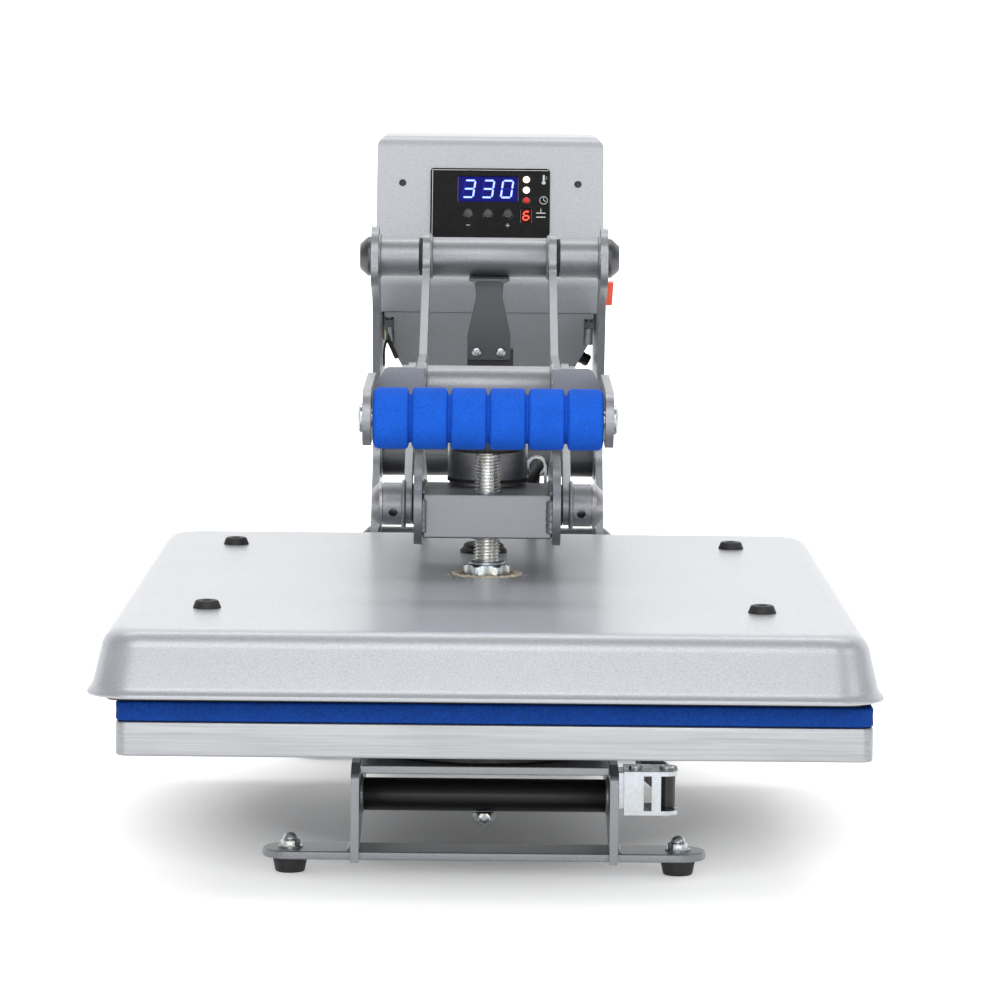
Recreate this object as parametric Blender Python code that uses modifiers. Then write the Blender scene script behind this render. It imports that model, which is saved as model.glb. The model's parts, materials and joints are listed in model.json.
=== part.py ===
"""Clamshell heat press with a 16 x 20 in platen, its toggle handle and its control box.

Standalone Blender 4.5 script: blender --background --python part.py
Units are metres. X is to the right, Y to the back, +Z up, and the feet stand on Z = 0.
Side views are drawn in the (Y, Z) plane.
"""

from math import atan2, cos, hypot, pi, radians, sin, tan

import bmesh
import bpy
from mathutils import Matrix, Vector

# ---------------------------------------------------------------- driving dimensions
PLATEN_WIDTH = 0.4064  # 16 in
PLATEN_DEPTH = 0.5080  # 20 in
PLATEN_CENTRE_Y = -0.1345
LOWER_PLATEN_SHIFT = 0.005  # the lower platen sits this far to the right of the head

COVER_WIDTH = 0.429
COVER_DEPTH = 0.531
COVER_CORNER = 0.027
COVER_WALL = 0.0015
COVER_TAPER = 0.0085
COVER_LOW = 0.1240
COVER_HIGH = 0.1593

HEAT_PLATE_LOW = 0.1213
HEAT_PLATE_HIGH = 0.1345
INSULATION_HIGH = 0.1540
PAD_LOW = 0.1103
PAD_HIGH = 0.1210
LOWER_PLATEN_LOW = 0.0913
PEDESTAL_LOW = 0.0633
PEDESTAL_RADIUS = 0.070
PEDESTAL_Y = -0.1635

STEEL = 0.00476  # 3/16 in plate
FRAME_INNER = 0.0714  # inner face of each side plate
FRAME_OUTER = FRAME_INNER + STEEL
FRAME_FRONT = -0.243
TUBE_RADIUS = 0.0127  # 1 in tube
SHAFT_RADIUS = 0.0080
GAP = 0.0003  # between pieces that touch

MAIN_PIVOT = (0.213, 0.140)  # the head's hinge, (Y, Z)
HANDLE_PIVOT = (0.135, 0.336)
LINK_PIVOT = (-0.120, 0.2015)  # where the links meet the platen arms
CRANK = 0.152  # handle pivot to toggle pin, on the line to the link pivot

HANDLE_ARM_INNER = 0.0382
PLATEN_ARM_INNER = 0.0385
LINK_INNER = 0.0447
COLLAR_OUTER = 0.0616

GRIP_AXIS = (-0.220, 0.2605)
GRIP_RADIUS = 0.0175
GRIP_HALF = 0.0655
EAR_INNER = 0.0665

SPINDLE_Y = -0.112
SPINDLE_RADIUS = 0.0080  # M16
MAGNET_Y = -0.062
MAGNET_RADIUS = 0.024
MAGNET_TOP = 0.2430

FOOT_SPACING = 0.2223
FOOT_BAR_LENGTH = 0.254
FOOT_BAR_WIDTH = 0.03175
FOOT_BAR_LOW = 0.0092
FOOT_ROWS = (-0.224, 0.200)

CASE_HALF = 0.076
CASE_UNDERCUT = 0.52  # below its bend, the face runs back this much per unit of drop
FACE_TILT = radians(20)
PANEL_TOP = (0.2602, 0.3894)  # top edge of the display panel on the face, (Y, Z)
PANEL_SIZE = (0.080, 0.056)
BUTTON_PLACES = {"minus": -0.0146, "mode": -0.0013, "plus": 0.0119}
BUTTON_DROP = 0.0322
BUTTON_RADIUS = 0.0034

LATCH_PIN = (0.1040, -0.228)  # (X, Y)
LEAD_RADIUS = 0.0030
FRAME_LEAD = [(0.030, 0.300, 0.2205), (0.030, 0.2985, 0.212), (0.030, 0.290, 0.200),
              (0.030, 0.268, 0.187), (0.030, 0.252, 0.172)]
ARM_LEAD = [(0.030, 0.2385, 0.164), (0.030, 0.195, 0.171), (0.030, 0.120, 0.181),
            (0.030, 0.045, 0.203), (0.030, 0.005, 0.2150), (0.030, -0.013, 0.2159),
            (0.030, -0.030, 0.2159), (0.027, -0.041, 0.209), (0.020, -0.038, 0.195),
            (0.008, -0.015, 0.184), (-0.001, 0.003, 0.178), (-0.002, 0.005, 0.1725)]
CLIP = (0.030, -0.0195, 0.2159)
GROMMET = (-0.002, 0.005)  # (X, Y)

COLOURS = {  # base colour, metallic, roughness
    "silver_paint": ((0.52, 0.53, 0.54), 0.6, 0.42),
    "grey_paint": ((0.26, 0.27, 0.28), 0.6, 0.45),
    "steel": ((0.60, 0.60, 0.60), 1.0, 0.30),
    "zinc": ((0.72, 0.74, 0.75), 1.0, 0.28),
    "aluminium": ((0.78, 0.79, 0.80), 1.0, 0.35),
    "cast_grey": ((0.16, 0.16, 0.16), 0.7, 0.55),
    "black_plate": ((0.03, 0.03, 0.03), 0.3, 0.5),
    "black_rubber": ((0.02, 0.02, 0.02), 0.0, 0.7),
    "black_plastic": ((0.02, 0.02, 0.02), 0.0, 0.35),
    "blue_silicone": ((0.01, 0.10, 0.62), 0.0, 0.6),
    "blue_foam": ((0.02, 0.14, 0.75), 0.0, 0.9),
    "insulation": ((0.75, 0.68, 0.50), 0.0, 0.95),
    "blue_display": ((0.02, 0.02, 0.75), 0.0, 0.2),
    "red_display": ((0.50, 0.02, 0.02), 0.0, 0.2),
    "red_plastic": ((0.85, 0.10, 0.01), 0.0, 0.35),
    "board_green": ((0.02, 0.22, 0.08), 0.0, 0.5),
}


# ---------------------------------------------------------------- building tools
def clear_scene():
    for old in list(bpy.data.objects):
        bpy.data.objects.remove(old, do_unlink=True)


def collection(name):
    made = bpy.data.collections.new(name)
    bpy.context.scene.collection.children.link(made)
    return made


def material(slot):
    found = bpy.data.materials.get(slot)
    if found:
        return found
    colour, metallic, roughness = COLOURS[slot]
    made = bpy.data.materials.new(slot)
    made.use_nodes = True
    shader = made.node_tree.nodes["Principled BSDF"]
    shader.inputs["Base Color"].default_value = (*colour, 1)
    shader.inputs["Metallic"].default_value = metallic
    shader.inputs["Roughness"].default_value = roughness
    return made


def arc(centre, radius, start, end, count):
    """Points on an arc from start to end, in degrees."""
    angles = [radians(start + (end - start) * i / count) for i in range(count + 1)]
    return [(centre[0] + radius * cos(a), centre[1] + radius * sin(a)) for a in angles]


def circle(centre, radius, count=24):
    return arc(centre, radius, 0, 360 - 360 / count, count - 1)


def rounded(corners, steps=4):
    """Outline through corners (u, v, radius), each one rounded by an arc of that radius."""
    points = []
    for i, (u, v, radius) in enumerate(corners):
        here = Vector((u, v))
        before = Vector(corners[i - 1][:2]) - here
        after = Vector(corners[(i + 1) % len(corners)][:2]) - here
        if radius == 0:
            points.append((u, v))
            continue
        half = before.angle(after) / 2
        reach = min(radius / tan(half), 0.49 * before.length, 0.49 * after.length)
        bend = reach * tan(half)
        centre = here + (before.normalized() + after.normalized()).normalized() * (bend / sin(half))
        first = here + before.normalized() * reach - centre
        last = here + after.normalized() * reach - centre
        a, b = atan2(first.y, first.x), atan2(last.y, last.x)
        turn = (b - a + pi) % (2 * pi) - pi
        for k in range(steps + 1):
            t = a + turn * k / steps
            points.append((centre.x + bend * cos(t), centre.y + bend * sin(t)))
    return points


def as_node(name, mesh, slot, place=None):
    """One named object of the press, from a finished mesh."""
    made = bpy.data.objects.new(name, mesh)
    PRESS.objects.link(made)
    mesh.materials.clear()
    mesh.materials.append(material(slot))
    if place is not None:
        mesh.transform(place)
    mesh.shade_smooth()
    mesh.set_sharp_from_angle(angle=radians(35))
    return made


def flat_mesh(outline, thickness, holes=()):
    """A flat outline as a filled 2D curve with thickness, centred on its own plane."""
    curve = bpy.data.curves.new("outline", "CURVE")
    curve.dimensions = "2D"
    curve.fill_mode = "BOTH"
    curve.extrude = thickness / 2
    for loop in (outline, *holes):
        spline = curve.splines.new("POLY")
        spline.points.add(len(loop) - 1)
        spline.use_cyclic_u = True
        for point, (u, v) in zip(spline.points, loop):
            point.co = (u, v, 0, 1)
    holder = bpy.data.objects.new("outline", curve)
    bpy.context.scene.collection.objects.link(holder)
    bpy.context.view_layer.update()
    evaluated = holder.evaluated_get(bpy.context.evaluated_depsgraph_get())
    mesh = bpy.data.meshes.new_from_object(evaluated)
    bpy.data.objects.remove(holder, do_unlink=True)
    weld(mesh)
    return mesh


def weld(mesh, distance=1e-6):
    work = bmesh.new()
    work.from_mesh(mesh)
    bmesh.ops.remove_doubles(work, verts=work.verts, dist=distance)
    bmesh.ops.recalc_face_normals(work, faces=work.faces)
    work.to_mesh(mesh)
    work.free()


SIDE_VIEW = Matrix(((0, 0, 1, 0), (1, 0, 0, 0), (0, 1, 0, 0), (0, 0, 0, 1)))  # u, v to Y, Z
FRONT_VIEW = Matrix(((1, 0, 0, 0), (0, 0, -1, 0), (0, 1, 0, 0), (0, 0, 0, 1)))  # u, v to X, Z


def side_mesh(outline, x_low, x_high, holes=()):
    mesh = flat_mesh(outline, x_high - x_low, holes)
    mesh.transform(Matrix.Translation(((x_low + x_high) / 2, 0, 0)) @ SIDE_VIEW)
    return mesh


def front_mesh(outline, y_low, y_high, holes=()):
    mesh = flat_mesh(outline, y_high - y_low, holes)
    mesh.transform(Matrix.Translation((0, (y_low + y_high) / 2, 0)) @ FRONT_VIEW)
    return mesh


def level_mesh(outline, z_low, z_high, holes=()):
    mesh = flat_mesh(outline, z_high - z_low, holes)
    mesh.transform(Matrix.Translation((0, 0, (z_low + z_high) / 2)))
    return mesh


def box_mesh(low, high):
    work = bmesh.new()
    bmesh.ops.create_cube(work, size=1)
    size = Vector(high) - Vector(low)
    middle = (Vector(high) + Vector(low)) / 2
    bmesh.ops.scale(work, vec=size, verts=work.verts)
    bmesh.ops.translate(work, vec=middle, verts=work.verts)
    mesh = bpy.data.meshes.new("box")
    work.to_mesh(mesh)
    work.free()
    return mesh


def turned_mesh(profile, place, steps=24):
    """A profile of (radius, height), down its outer side from the top, turned about its axis."""
    mesh = bpy.data.meshes.new("profile")
    edges = [(i, i + 1) for i in range(len(profile) - 1)]
    mesh.from_pydata([(r, 0, h) for r, h in profile], edges, [])
    holder = bpy.data.objects.new("profile", mesh)
    bpy.context.scene.collection.objects.link(holder)
    screw = holder.modifiers.new("turn", "SCREW")
    screw.steps = screw.render_steps = steps
    screw.use_merge_vertices = True
    screw.merge_threshold = 0.00001
    bpy.context.view_layer.update()
    evaluated = holder.evaluated_get(bpy.context.evaluated_depsgraph_get())
    turned = bpy.data.meshes.new_from_object(evaluated)
    bpy.data.objects.remove(holder, do_unlink=True)
    weld(turned)
    turned.transform(place)
    return turned


def solid_profile(radius, low, high, chamfer=0.0):
    if chamfer == 0:
        return [(0, high), (radius, high), (radius, low), (0, low)]
    return [(0, high), (radius - chamfer, high), (radius, high - chamfer),
            (radius, low + chamfer), (radius - chamfer, low), (0, low)]


def ring_profile(radius, bore, low, high):
    return [(bore, high), (radius, high), (radius, low), (bore, low), (bore, high)]


def along_x(centre):
    """Places a turned piece with its axis along +X, through (Y, Z) of centre."""
    return Matrix.Translation((0, centre[0], centre[1])) @ Matrix.Rotation(pi / 2, 4, "Y")


def upright(x, y, z=0.0):
    return Matrix.Translation((x, y, z))


def mirrored(mesh):
    """The same piece on the other side of the X = 0 plane."""
    twin = mesh.copy()
    twin.transform(Matrix.Diagonal((-1, 1, 1, 1)))
    twin.flip_normals()
    return twin


def boolean_mesh(base, tools, operation):
    """base joined with, or cut by, each tool, as one mesh."""
    holder = bpy.data.objects.new("base", base)
    bpy.context.scene.collection.objects.link(holder)
    cutters = []
    for tool in tools:
        cutter = bpy.data.objects.new("cutter", tool)
        CUTTERS.objects.link(cutter)
        cutter.hide_render = True
        cutter.display_type = "WIRE"
        cutters.append(cutter)
        step = holder.modifiers.new("step", "BOOLEAN")
        step.operation = operation
        step.solver = "EXACT"
        step.object = cutter
    bpy.context.view_layer.update()
    evaluated = holder.evaluated_get(bpy.context.evaluated_depsgraph_get())
    result = bpy.data.meshes.new_from_object(evaluated)
    for done in (holder, *cutters):
        bpy.data.objects.remove(done, do_unlink=True)
    weld(result)
    return result


def tube_mesh(route, radius, resolution=2):
    """A round wire along the route's points, with filled ends."""
    curve = bpy.data.curves.new("wire", "CURVE")
    curve.dimensions = "3D"
    curve.bevel_depth = radius
    curve.bevel_resolution = resolution
    curve.use_fill_caps = True
    spline = curve.splines.new("POLY")
    spline.points.add(len(route) - 1)
    for point, place in zip(spline.points, route):
        point.co = (*place, 1)
    holder = bpy.data.objects.new("wire", curve)
    bpy.context.scene.collection.objects.link(holder)
    bpy.context.view_layer.update()
    evaluated = holder.evaluated_get(bpy.context.evaluated_depsgraph_get())
    mesh = bpy.data.meshes.new_from_object(evaluated)
    bpy.data.objects.remove(holder, do_unlink=True)
    weld(mesh)
    return mesh


def smooth_route(places, steps=4):
    """Points on a smooth curve through the given places (Catmull-Rom)."""
    ends = [2 * Vector(places[0]) - Vector(places[1])]
    ends += [Vector(p) for p in places]
    ends += [2 * Vector(places[-1]) - Vector(places[-2])]
    route = []
    for i in range(1, len(ends) - 2):
        a, b, c, d = ends[i - 1:i + 3]
        for k in range(steps):
            t = k / steps
            route.append(0.5 * (2 * b + (c - a) * t + (2 * a - 5 * b + 4 * c - d) * t ** 2
                                + (3 * b - a - 3 * c + d) * t ** 3))
    return route + [ends[-2]]


def face_place(across, drop, proud=0.0):
    """Frame on the tilted control face: across to the right, drop below the panel's top edge,
    proud of the face, with +Z out of the face."""
    up = Vector((0, sin(FACE_TILT), cos(FACE_TILT)))
    out = Vector((0, -cos(FACE_TILT), sin(FACE_TILT)))
    spot = Vector((across, *PANEL_TOP)) - up * drop + out * proud
    turn = Matrix((Vector((1, 0, 0)), up, out)).transposed().to_4x4()
    return Matrix.Translation(spot) @ turn


def hang(pivot_name, place, pieces):
    """Parents the moving pieces to an empty on their joint's axis."""
    pivot = bpy.data.objects.new(pivot_name, None)
    pivot.location = place
    PRESS.objects.link(pivot)
    for piece in pieces:
        piece.parent = pivot
        piece.matrix_parent_inverse = Matrix.Translation(place).inverted()
    return pivot


# ---------------------------------------------------------------- frame
def side_plates():
    low = FOOT_BAR_LOW + STEEL + GAP
    outline = rounded([
        (FRAME_FRONT, 0.008, 0), (-0.2403, 0.008, 0), (-0.2403, low, 0), (-0.206, low, 0),
        (-0.100, 0.034, 0.02), (0.130, 0.034, 0.03), (0.172, low, 0), (0.240, low, 0.006),
        (0.262, 0.040, 0.02), (0.266, 0.212, 0.02), (0.335, 0.240, 0.012),
        (0.335, 0.2915, 0.008), (0.2180, 0.2915, 0.010), (0.1537, 0.3547, 0.0187),
        (0.1163, 0.3547, 0.0187), (0.1163, 0.3190, 0.012),
        (0.165, 0.306, 0.02), (0.207, 0.204, 0.02), (0.154, 0.154, 0.02),
        (0.1370, 0.110, 0.01), (0.1370, 0.063, 0.012), (-0.225, 0.063, 0.01),
        (FRAME_FRONT, 0.0590, 0.004),
    ], 5)
    holes = [circle(p, SHAFT_RADIUS + GAP, 20) for p in (MAIN_PIVOT, HANDLE_PIVOT)]
    plate = side_mesh(outline, FRAME_INNER, FRAME_OUTER, holes)
    collars = []
    for place, inner in ((MAIN_PIVOT, 0.0440), (HANDLE_PIVOT, 0.0455)):
        collars.append(turned_mesh(ring_profile(TUBE_RADIUS, SHAFT_RADIUS + 0.0002, inner,
                                                FRAME_INNER + 0.001), along_x(place)))
    right = boolean_mesh(plate, collars, "UNION")
    as_node("side_plate_left", mirrored(right), "silver_paint")
    as_node("side_plate_right", right, "silver_paint")


def cross_members():
    half = FRAME_INNER - GAP
    top = level_mesh([(-half, -0.235), (half, -0.235), (half, 0.100), (-half, 0.100)],
                     0.063 - STEEL, 0.063)
    as_node("platform_plate", top, "silver_paint")
    front = turned_mesh(solid_profile(0.0095, -half, half), along_x((-0.200, 0.041)))
    rear = turned_mesh(solid_profile(TUBE_RADIUS, -half, half), along_x((0.220, 0.199)))
    as_node("front_cross_tube", front, "grey_paint")
    as_node("rear_cross_tube", rear, "grey_paint")
    stud = turned_mesh([(0, 0.0312), (0.0052, 0.0312), (0.0058, 0.0275), (0.0050, 0.0270),
                        (0.0008, 0.0232), (0, 0.0232)], upright(0, -0.200), 6)
    as_node("locating_stud", stud, "zinc")


def feet():
    half, end = FOOT_BAR_LENGTH / 2, FOOT_BAR_WIDTH / 2
    foot = [(0, 0.0089), (0.0100, 0.0089), (0.0099, 0.0030), (0.0086, 0), (0, 0)]
    for row_name, row in zip(("front", "rear"), FOOT_ROWS):
        stadium = [(half - end + u, row + v) for u, v in arc((0, 0), end, -90, 90, 10)]
        stadium += [(end - half + u, row + v) for u, v in arc((0, 0), end, 90, 270, 10)]
        as_node(row_name + "_foot_bar",
                level_mesh(stadium, FOOT_BAR_LOW, FOOT_BAR_LOW + STEEL), "silver_paint")
        for side_name, side in (("left", -1), ("right", 1)):
            as_node(f"rubber_foot_{row_name}_{side_name}",
                    turned_mesh(foot, upright(side * FOOT_SPACING / 2, row), 20), "black_rubber")


def pivot_shafts():
    """A shaft with a bevelled head outside each side plate, at the hinge and at the handle."""
    end, base = 0.0835, FRAME_OUTER + GAP
    shaft = [(0, end), (0.0080, end), (TUBE_RADIUS, end - 0.005), (TUBE_RADIUS, base),
             (SHAFT_RADIUS, base)]
    shaft += [(r, -h) for r, h in reversed(shaft)]
    for name, place in (("main_pivot_shaft", MAIN_PIVOT), ("handle_pivot_shaft", HANDLE_PIVOT)):
        as_node(name, turned_mesh(shaft, along_x(place), 20), "steel")


# ---------------------------------------------------------------- lower platen
def rectangle(half_x, half_y, centre, radius, steps=5):
    x, y = centre
    return rounded([(x - half_x, y - half_y, radius), (x + half_x, y - half_y, radius),
                    (x + half_x, y + half_y, radius), (x - half_x, y + half_y, radius)], steps)


def lower_platen():
    disc = turned_mesh(solid_profile(PEDESTAL_RADIUS, PEDESTAL_LOW, LOWER_PLATEN_LOW - GAP),
                       upright(0, PEDESTAL_Y), 48)
    as_node("pedestal_disc", disc, "cast_grey")
    outline = rectangle(PLATEN_WIDTH / 2, PLATEN_DEPTH / 2,
                        (LOWER_PLATEN_SHIFT, PLATEN_CENTRE_Y), 0.006)
    as_node("lower_platen", level_mesh(outline, LOWER_PLATEN_LOW, PAD_LOW - GAP), "aluminium")
    as_node("silicone_pad", level_mesh(outline, PAD_LOW, PAD_HIGH), "blue_silicone")


def platen_latch():
    low, high, wall = 0.0370, 0.0620, 0.0025
    front, back = -0.243, -0.214
    flange = [(0.0793, back), (0.0793, front), *arc((0.1030, front + 0.007), 0.007, -90, 0, 4),
              *arc((0.1030, back - 0.007), 0.007, 0, 90, 4)]
    parts = [level_mesh(flange, high - wall, high), level_mesh(flange, low, low + wall),
             box_mesh((0.0793, front, low), (0.0818, back, high)),
             box_mesh((0.0793, front, low), (0.0905, front + wall, high)),
             box_mesh((0.0950, front, low), (0.1003, front + wall, high)),
             box_mesh((FRAME_OUTER + GAP, -0.238, 0.040), (0.0800, -0.216, 0.0605))]
    for x in (0.0865, LATCH_PIN[0]):
        pin = [(0, high + 0.0015), (0.0042, high + 0.0015), (0.0042, high - 0.0002),
               (0.0028, high - 0.0002), (0.0028, low + 0.0002), (0.0042, low + 0.0002),
               (0.0042, low - 0.0015), (0, low - 0.0015)]
        parts.append(turned_mesh(pin, upright(x, LATCH_PIN[1]), 16))
    as_node("latch_body", boolean_mesh(parts[0], parts[1:], "UNION"), "zinc")
    x, y = LATCH_PIN
    ring = turned_mesh(ring_profile(0.0050, 0.0031, low + wall + GAP, high - wall - GAP),
                       upright(x, y), 20)
    handle = level_mesh(rounded([(x - 0.004, y + 0.0042, 0), (x + 0.004, y + 0.0042, 0),
                                 (x + 0.006, y + 0.030, 0.01), (x - 0.004, y + 0.090, 0.006),
                                 (x - 0.016, y + 0.090, 0.006), (x - 0.006, y + 0.030, 0.01)], 3),
                        0.0440, 0.0550)
    lever = as_node("latch_lever", boolean_mesh(ring, [handle], "UNION"), "black_plastic")
    hang("latch_pivot", (x, y, 0.0495), [lever])


# ---------------------------------------------------------------- heated head
def heat_head():
    plate = rectangle(PLATEN_WIDTH / 2, PLATEN_DEPTH / 2, (0, PLATEN_CENTRE_Y), 0.006)
    made = [as_node("heat_plate", level_mesh(plate, HEAT_PLATE_LOW, HEAT_PLATE_HIGH),
                    "black_plate")]
    bore = [circle((0, SPINDLE_Y), 0.0200, 24)]
    blanket = rectangle(0.198, 0.249, (0, PLATEN_CENTRE_Y), 0.01, 2)
    made.append(as_node("insulation_blanket",
                        level_mesh(blanket, HEAT_PLATE_HIGH + 0.0072, INSULATION_HIGH, bore),
                        "insulation"))
    made.append(as_node("heating_element", heating_element(), "steel"))
    made.append(as_node("heat_cover", heat_cover(), "silver_paint"))
    gland = ring_profile(0.0145, 0.0037, 0, 0.0060)
    made.append(as_node("cover_grommet",
                        turned_mesh(gland, upright(*GROMMET, COVER_HIGH + GAP), 20),
                        "black_rubber"))
    return made


def heating_element():
    """A tubular element laid to and fro on the plate's upper face."""
    radius, reach, pitch = 0.0030, 0.170, 0.040
    rows = 11
    points = []
    for i in range(rows):
        y = PLATEN_CENTRE_Y + (i - (rows - 1) / 2) * pitch
        ends = (-reach, reach) if i % 2 == 0 else (reach, -reach)
        points += [(x, y) for x in ends]
    height = HEAT_PLATE_HIGH + GAP + radius
    bends = [(u, v, height) for u, v in points]
    return tube_mesh(bends, radius, 1)


def split_sides(outline, parts):
    """The outline with its four straight sides cut into equal parts."""
    points = []
    for i, here in enumerate(outline):
        there = outline[(i + 1) % len(outline)]
        count = parts if hypot(there[0] - here[0], there[1] - here[1]) > 0.1 else 1
        for k in range(count):
            points.append((here[0] + (there[0] - here[0]) * k / count,
                           here[1] + (there[1] - here[1]) * k / count))
    return points


def heat_cover():
    """A drawn sheet cover: rounded sections from the lip up to the crown, then in to the
    spindle's opening, thickened inwards."""
    middle = (0, PLATEN_CENTRE_Y)
    sections = [(0, COVER_LOW), (0.0004, COVER_LOW + 0.0020), (0.0026, COVER_LOW + 0.0048),
                (COVER_TAPER - 0.001, COVER_HIGH - 0.012)]
    for angle in (30, 60, 90):
        a = radians(angle)
        sections.append((COVER_TAPER - 0.001 + 0.012 * (1 - cos(a)), COVER_HIGH - 0.012 * (1 - sin(a))))
    work = bmesh.new()
    rings = []
    for inset, height in sections:
        outline = rectangle(COVER_WIDTH / 2 - inset, COVER_DEPTH / 2 - inset, middle,
                            max(COVER_CORNER - inset, 0.012), 5)
        rings.append([work.verts.new((u, v, height)) for u, v in split_sides(outline, 6)])
    hub = Vector((0, SPINDLE_Y))
    toward = [(Vector(v.co[:2]) - hub).normalized() * 0.021 + hub for v in rings[-1]]
    rings.append([work.verts.new((p.x, p.y, COVER_HIGH)) for p in toward])
    for lower, upper in zip(rings, rings[1:]):
        for i in range(len(lower)):
            j = (i + 1) % len(lower)
            work.faces.new((lower[i], lower[j], upper[j], upper[i]))
    mesh = bpy.data.meshes.new("cover")
    work.to_mesh(mesh)
    work.free()
    holder = bpy.data.objects.new("cover", mesh)
    bpy.context.scene.collection.objects.link(holder)
    wall = holder.modifiers.new("wall", "SOLIDIFY")
    wall.thickness = COVER_WALL
    wall.offset = -1
    wall.use_even_offset = True
    bpy.context.view_layer.update()
    evaluated = holder.evaluated_get(bpy.context.evaluated_depsgraph_get())
    shell = bpy.data.meshes.new_from_object(evaluated)
    bpy.data.objects.remove(holder, do_unlink=True)
    weld(shell)
    return shell


def pressure_screw():
    rod = turned_mesh(solid_profile(SPINDLE_RADIUS - 0.0002, HEAT_PLATE_HIGH + GAP, 0.2322, 0.0008),
                      upright(0, SPINDLE_Y), 24)
    nut = turned_mesh(solid_profile(0.01386, 0.1525, 0.1655), upright(0, SPINDLE_Y), 6)
    collar = turned_mesh(solid_profile(0.0108, 0.1650, 0.1674), upright(0, SPINDLE_Y), 24)
    spindle = as_node("pressure_spindle", boolean_mesh(rod, [nut, collar], "UNION"), "zinc")
    knob = [(0, 0.2480), (0.0190, 0.2480), (0.0210, 0.2465), (0.0210, 0.2340), (0.0195, 0.2325),
            (0, 0.2325)]
    turned_knob = as_node("pressure_knob", turned_mesh(knob, upright(0, SPINDLE_Y), 32),
                          "black_plastic")
    return [spindle, turned_knob]


# ---------------------------------------------------------------- platen arms
def platen_arms():
    outline = rounded([
        (-0.1435, 0.2250, 0.0235), (-0.1435, 0.1780, 0.0235), (0.115, 0.1720, 0.03),
        (0.172, 0.1190, 0.02), (0.2340, 0.1190, 0.0205), (0.2340, 0.1610, 0.0205),
        (0.120, 0.1920, 0.06), (0.030, 0.2130, 0.06), (-0.060, 0.2300, 0.05),
    ], 6)
    holes = [circle(p, SHAFT_RADIUS + GAP, 20) for p in (MAIN_PIVOT, LINK_PIVOT)]
    right = side_mesh(outline, PLATEN_ARM_INNER, PLATEN_ARM_INNER + STEEL, holes)
    made = [as_node("platen_arm_left", mirrored(right), "silver_paint"),
            as_node("platen_arm_right", right, "silver_paint")]
    half = PLATEN_ARM_INNER - GAP
    bar = [(-half, -0.128), (half, -0.128), (half, -0.050), (-half, -0.050)]
    made.append(as_node("pressure_crossbar",
                        level_mesh(bar, 0.182, 0.208, [circle((0, SPINDLE_Y), 0.0084)]),
                        "silver_paint"))
    recess = MAGNET_TOP - 0.0005
    magnet = [(0, recess), (0.0150, recess), (0.0150, MAGNET_TOP), (MAGNET_RADIUS - 0.0005, MAGNET_TOP),
              (MAGNET_RADIUS, recess), (MAGNET_RADIUS, 0.2115), (0.0230, 0.2115),
              (0.0230, 0.2083), (0, 0.2083)]
    made.append(as_node("hold_magnet", turned_mesh(magnet, upright(0, MAGNET_Y), 40), "steel"))
    bolt = link_bolt()
    made.append(as_node("link_bolt_left", mirrored(bolt), "steel"))
    made.append(as_node("link_bolt_right", bolt, "steel"))
    made.append(as_node("cable_clip", cable_clip(), "zinc"))
    made.append(as_node("heater_lead_arm",
                        tube_mesh(smooth_route(ARM_LEAD, 3), LEAD_RADIUS), "black_rubber"))
    return made


def cable_clip():
    x, y, z = CLIP
    width = 0.0080
    ring = turned_mesh(ring_profile(0.0060, LEAD_RADIUS + 0.0013, -width / 2, width / 2),
                       Matrix.Translation(CLIP) @ Matrix.Rotation(pi / 2, 4, "X"), 20)
    tab = box_mesh((x + 0.0046, y - width / 2, z - 0.0135), (x + 0.0064, y + width / 2, z))
    foot = box_mesh((x + 0.0046, y - width / 2, z - 0.0135), (0.0382, y + width / 2, z - 0.0115))
    return boolean_mesh(ring, [tab, foot], "UNION")


def link_bolt():
    bolt = [(0, 0.0685), (0.0080, 0.0685), (TUBE_RADIUS, 0.0640), (TUBE_RADIUS, COLLAR_OUTER + GAP),
            (SHAFT_RADIUS, COLLAR_OUTER + GAP), (SHAFT_RADIUS, PLATEN_ARM_INNER + GAP),
            (0, PLATEN_ARM_INNER + GAP)]
    return turned_mesh(bolt, along_x(LINK_PIVOT), 20)


# ---------------------------------------------------------------- toggle links
def toggle_pin():
    """Where links and handle arms meet: on the line between their outer pivots when closed."""
    run, rise = (LINK_PIVOT[0] - HANDLE_PIVOT[0], LINK_PIVOT[1] - HANDLE_PIVOT[1])
    share = CRANK / hypot(run, rise)
    return (HANDLE_PIVOT[0] + run * share, HANDLE_PIVOT[1] + rise * share)


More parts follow.
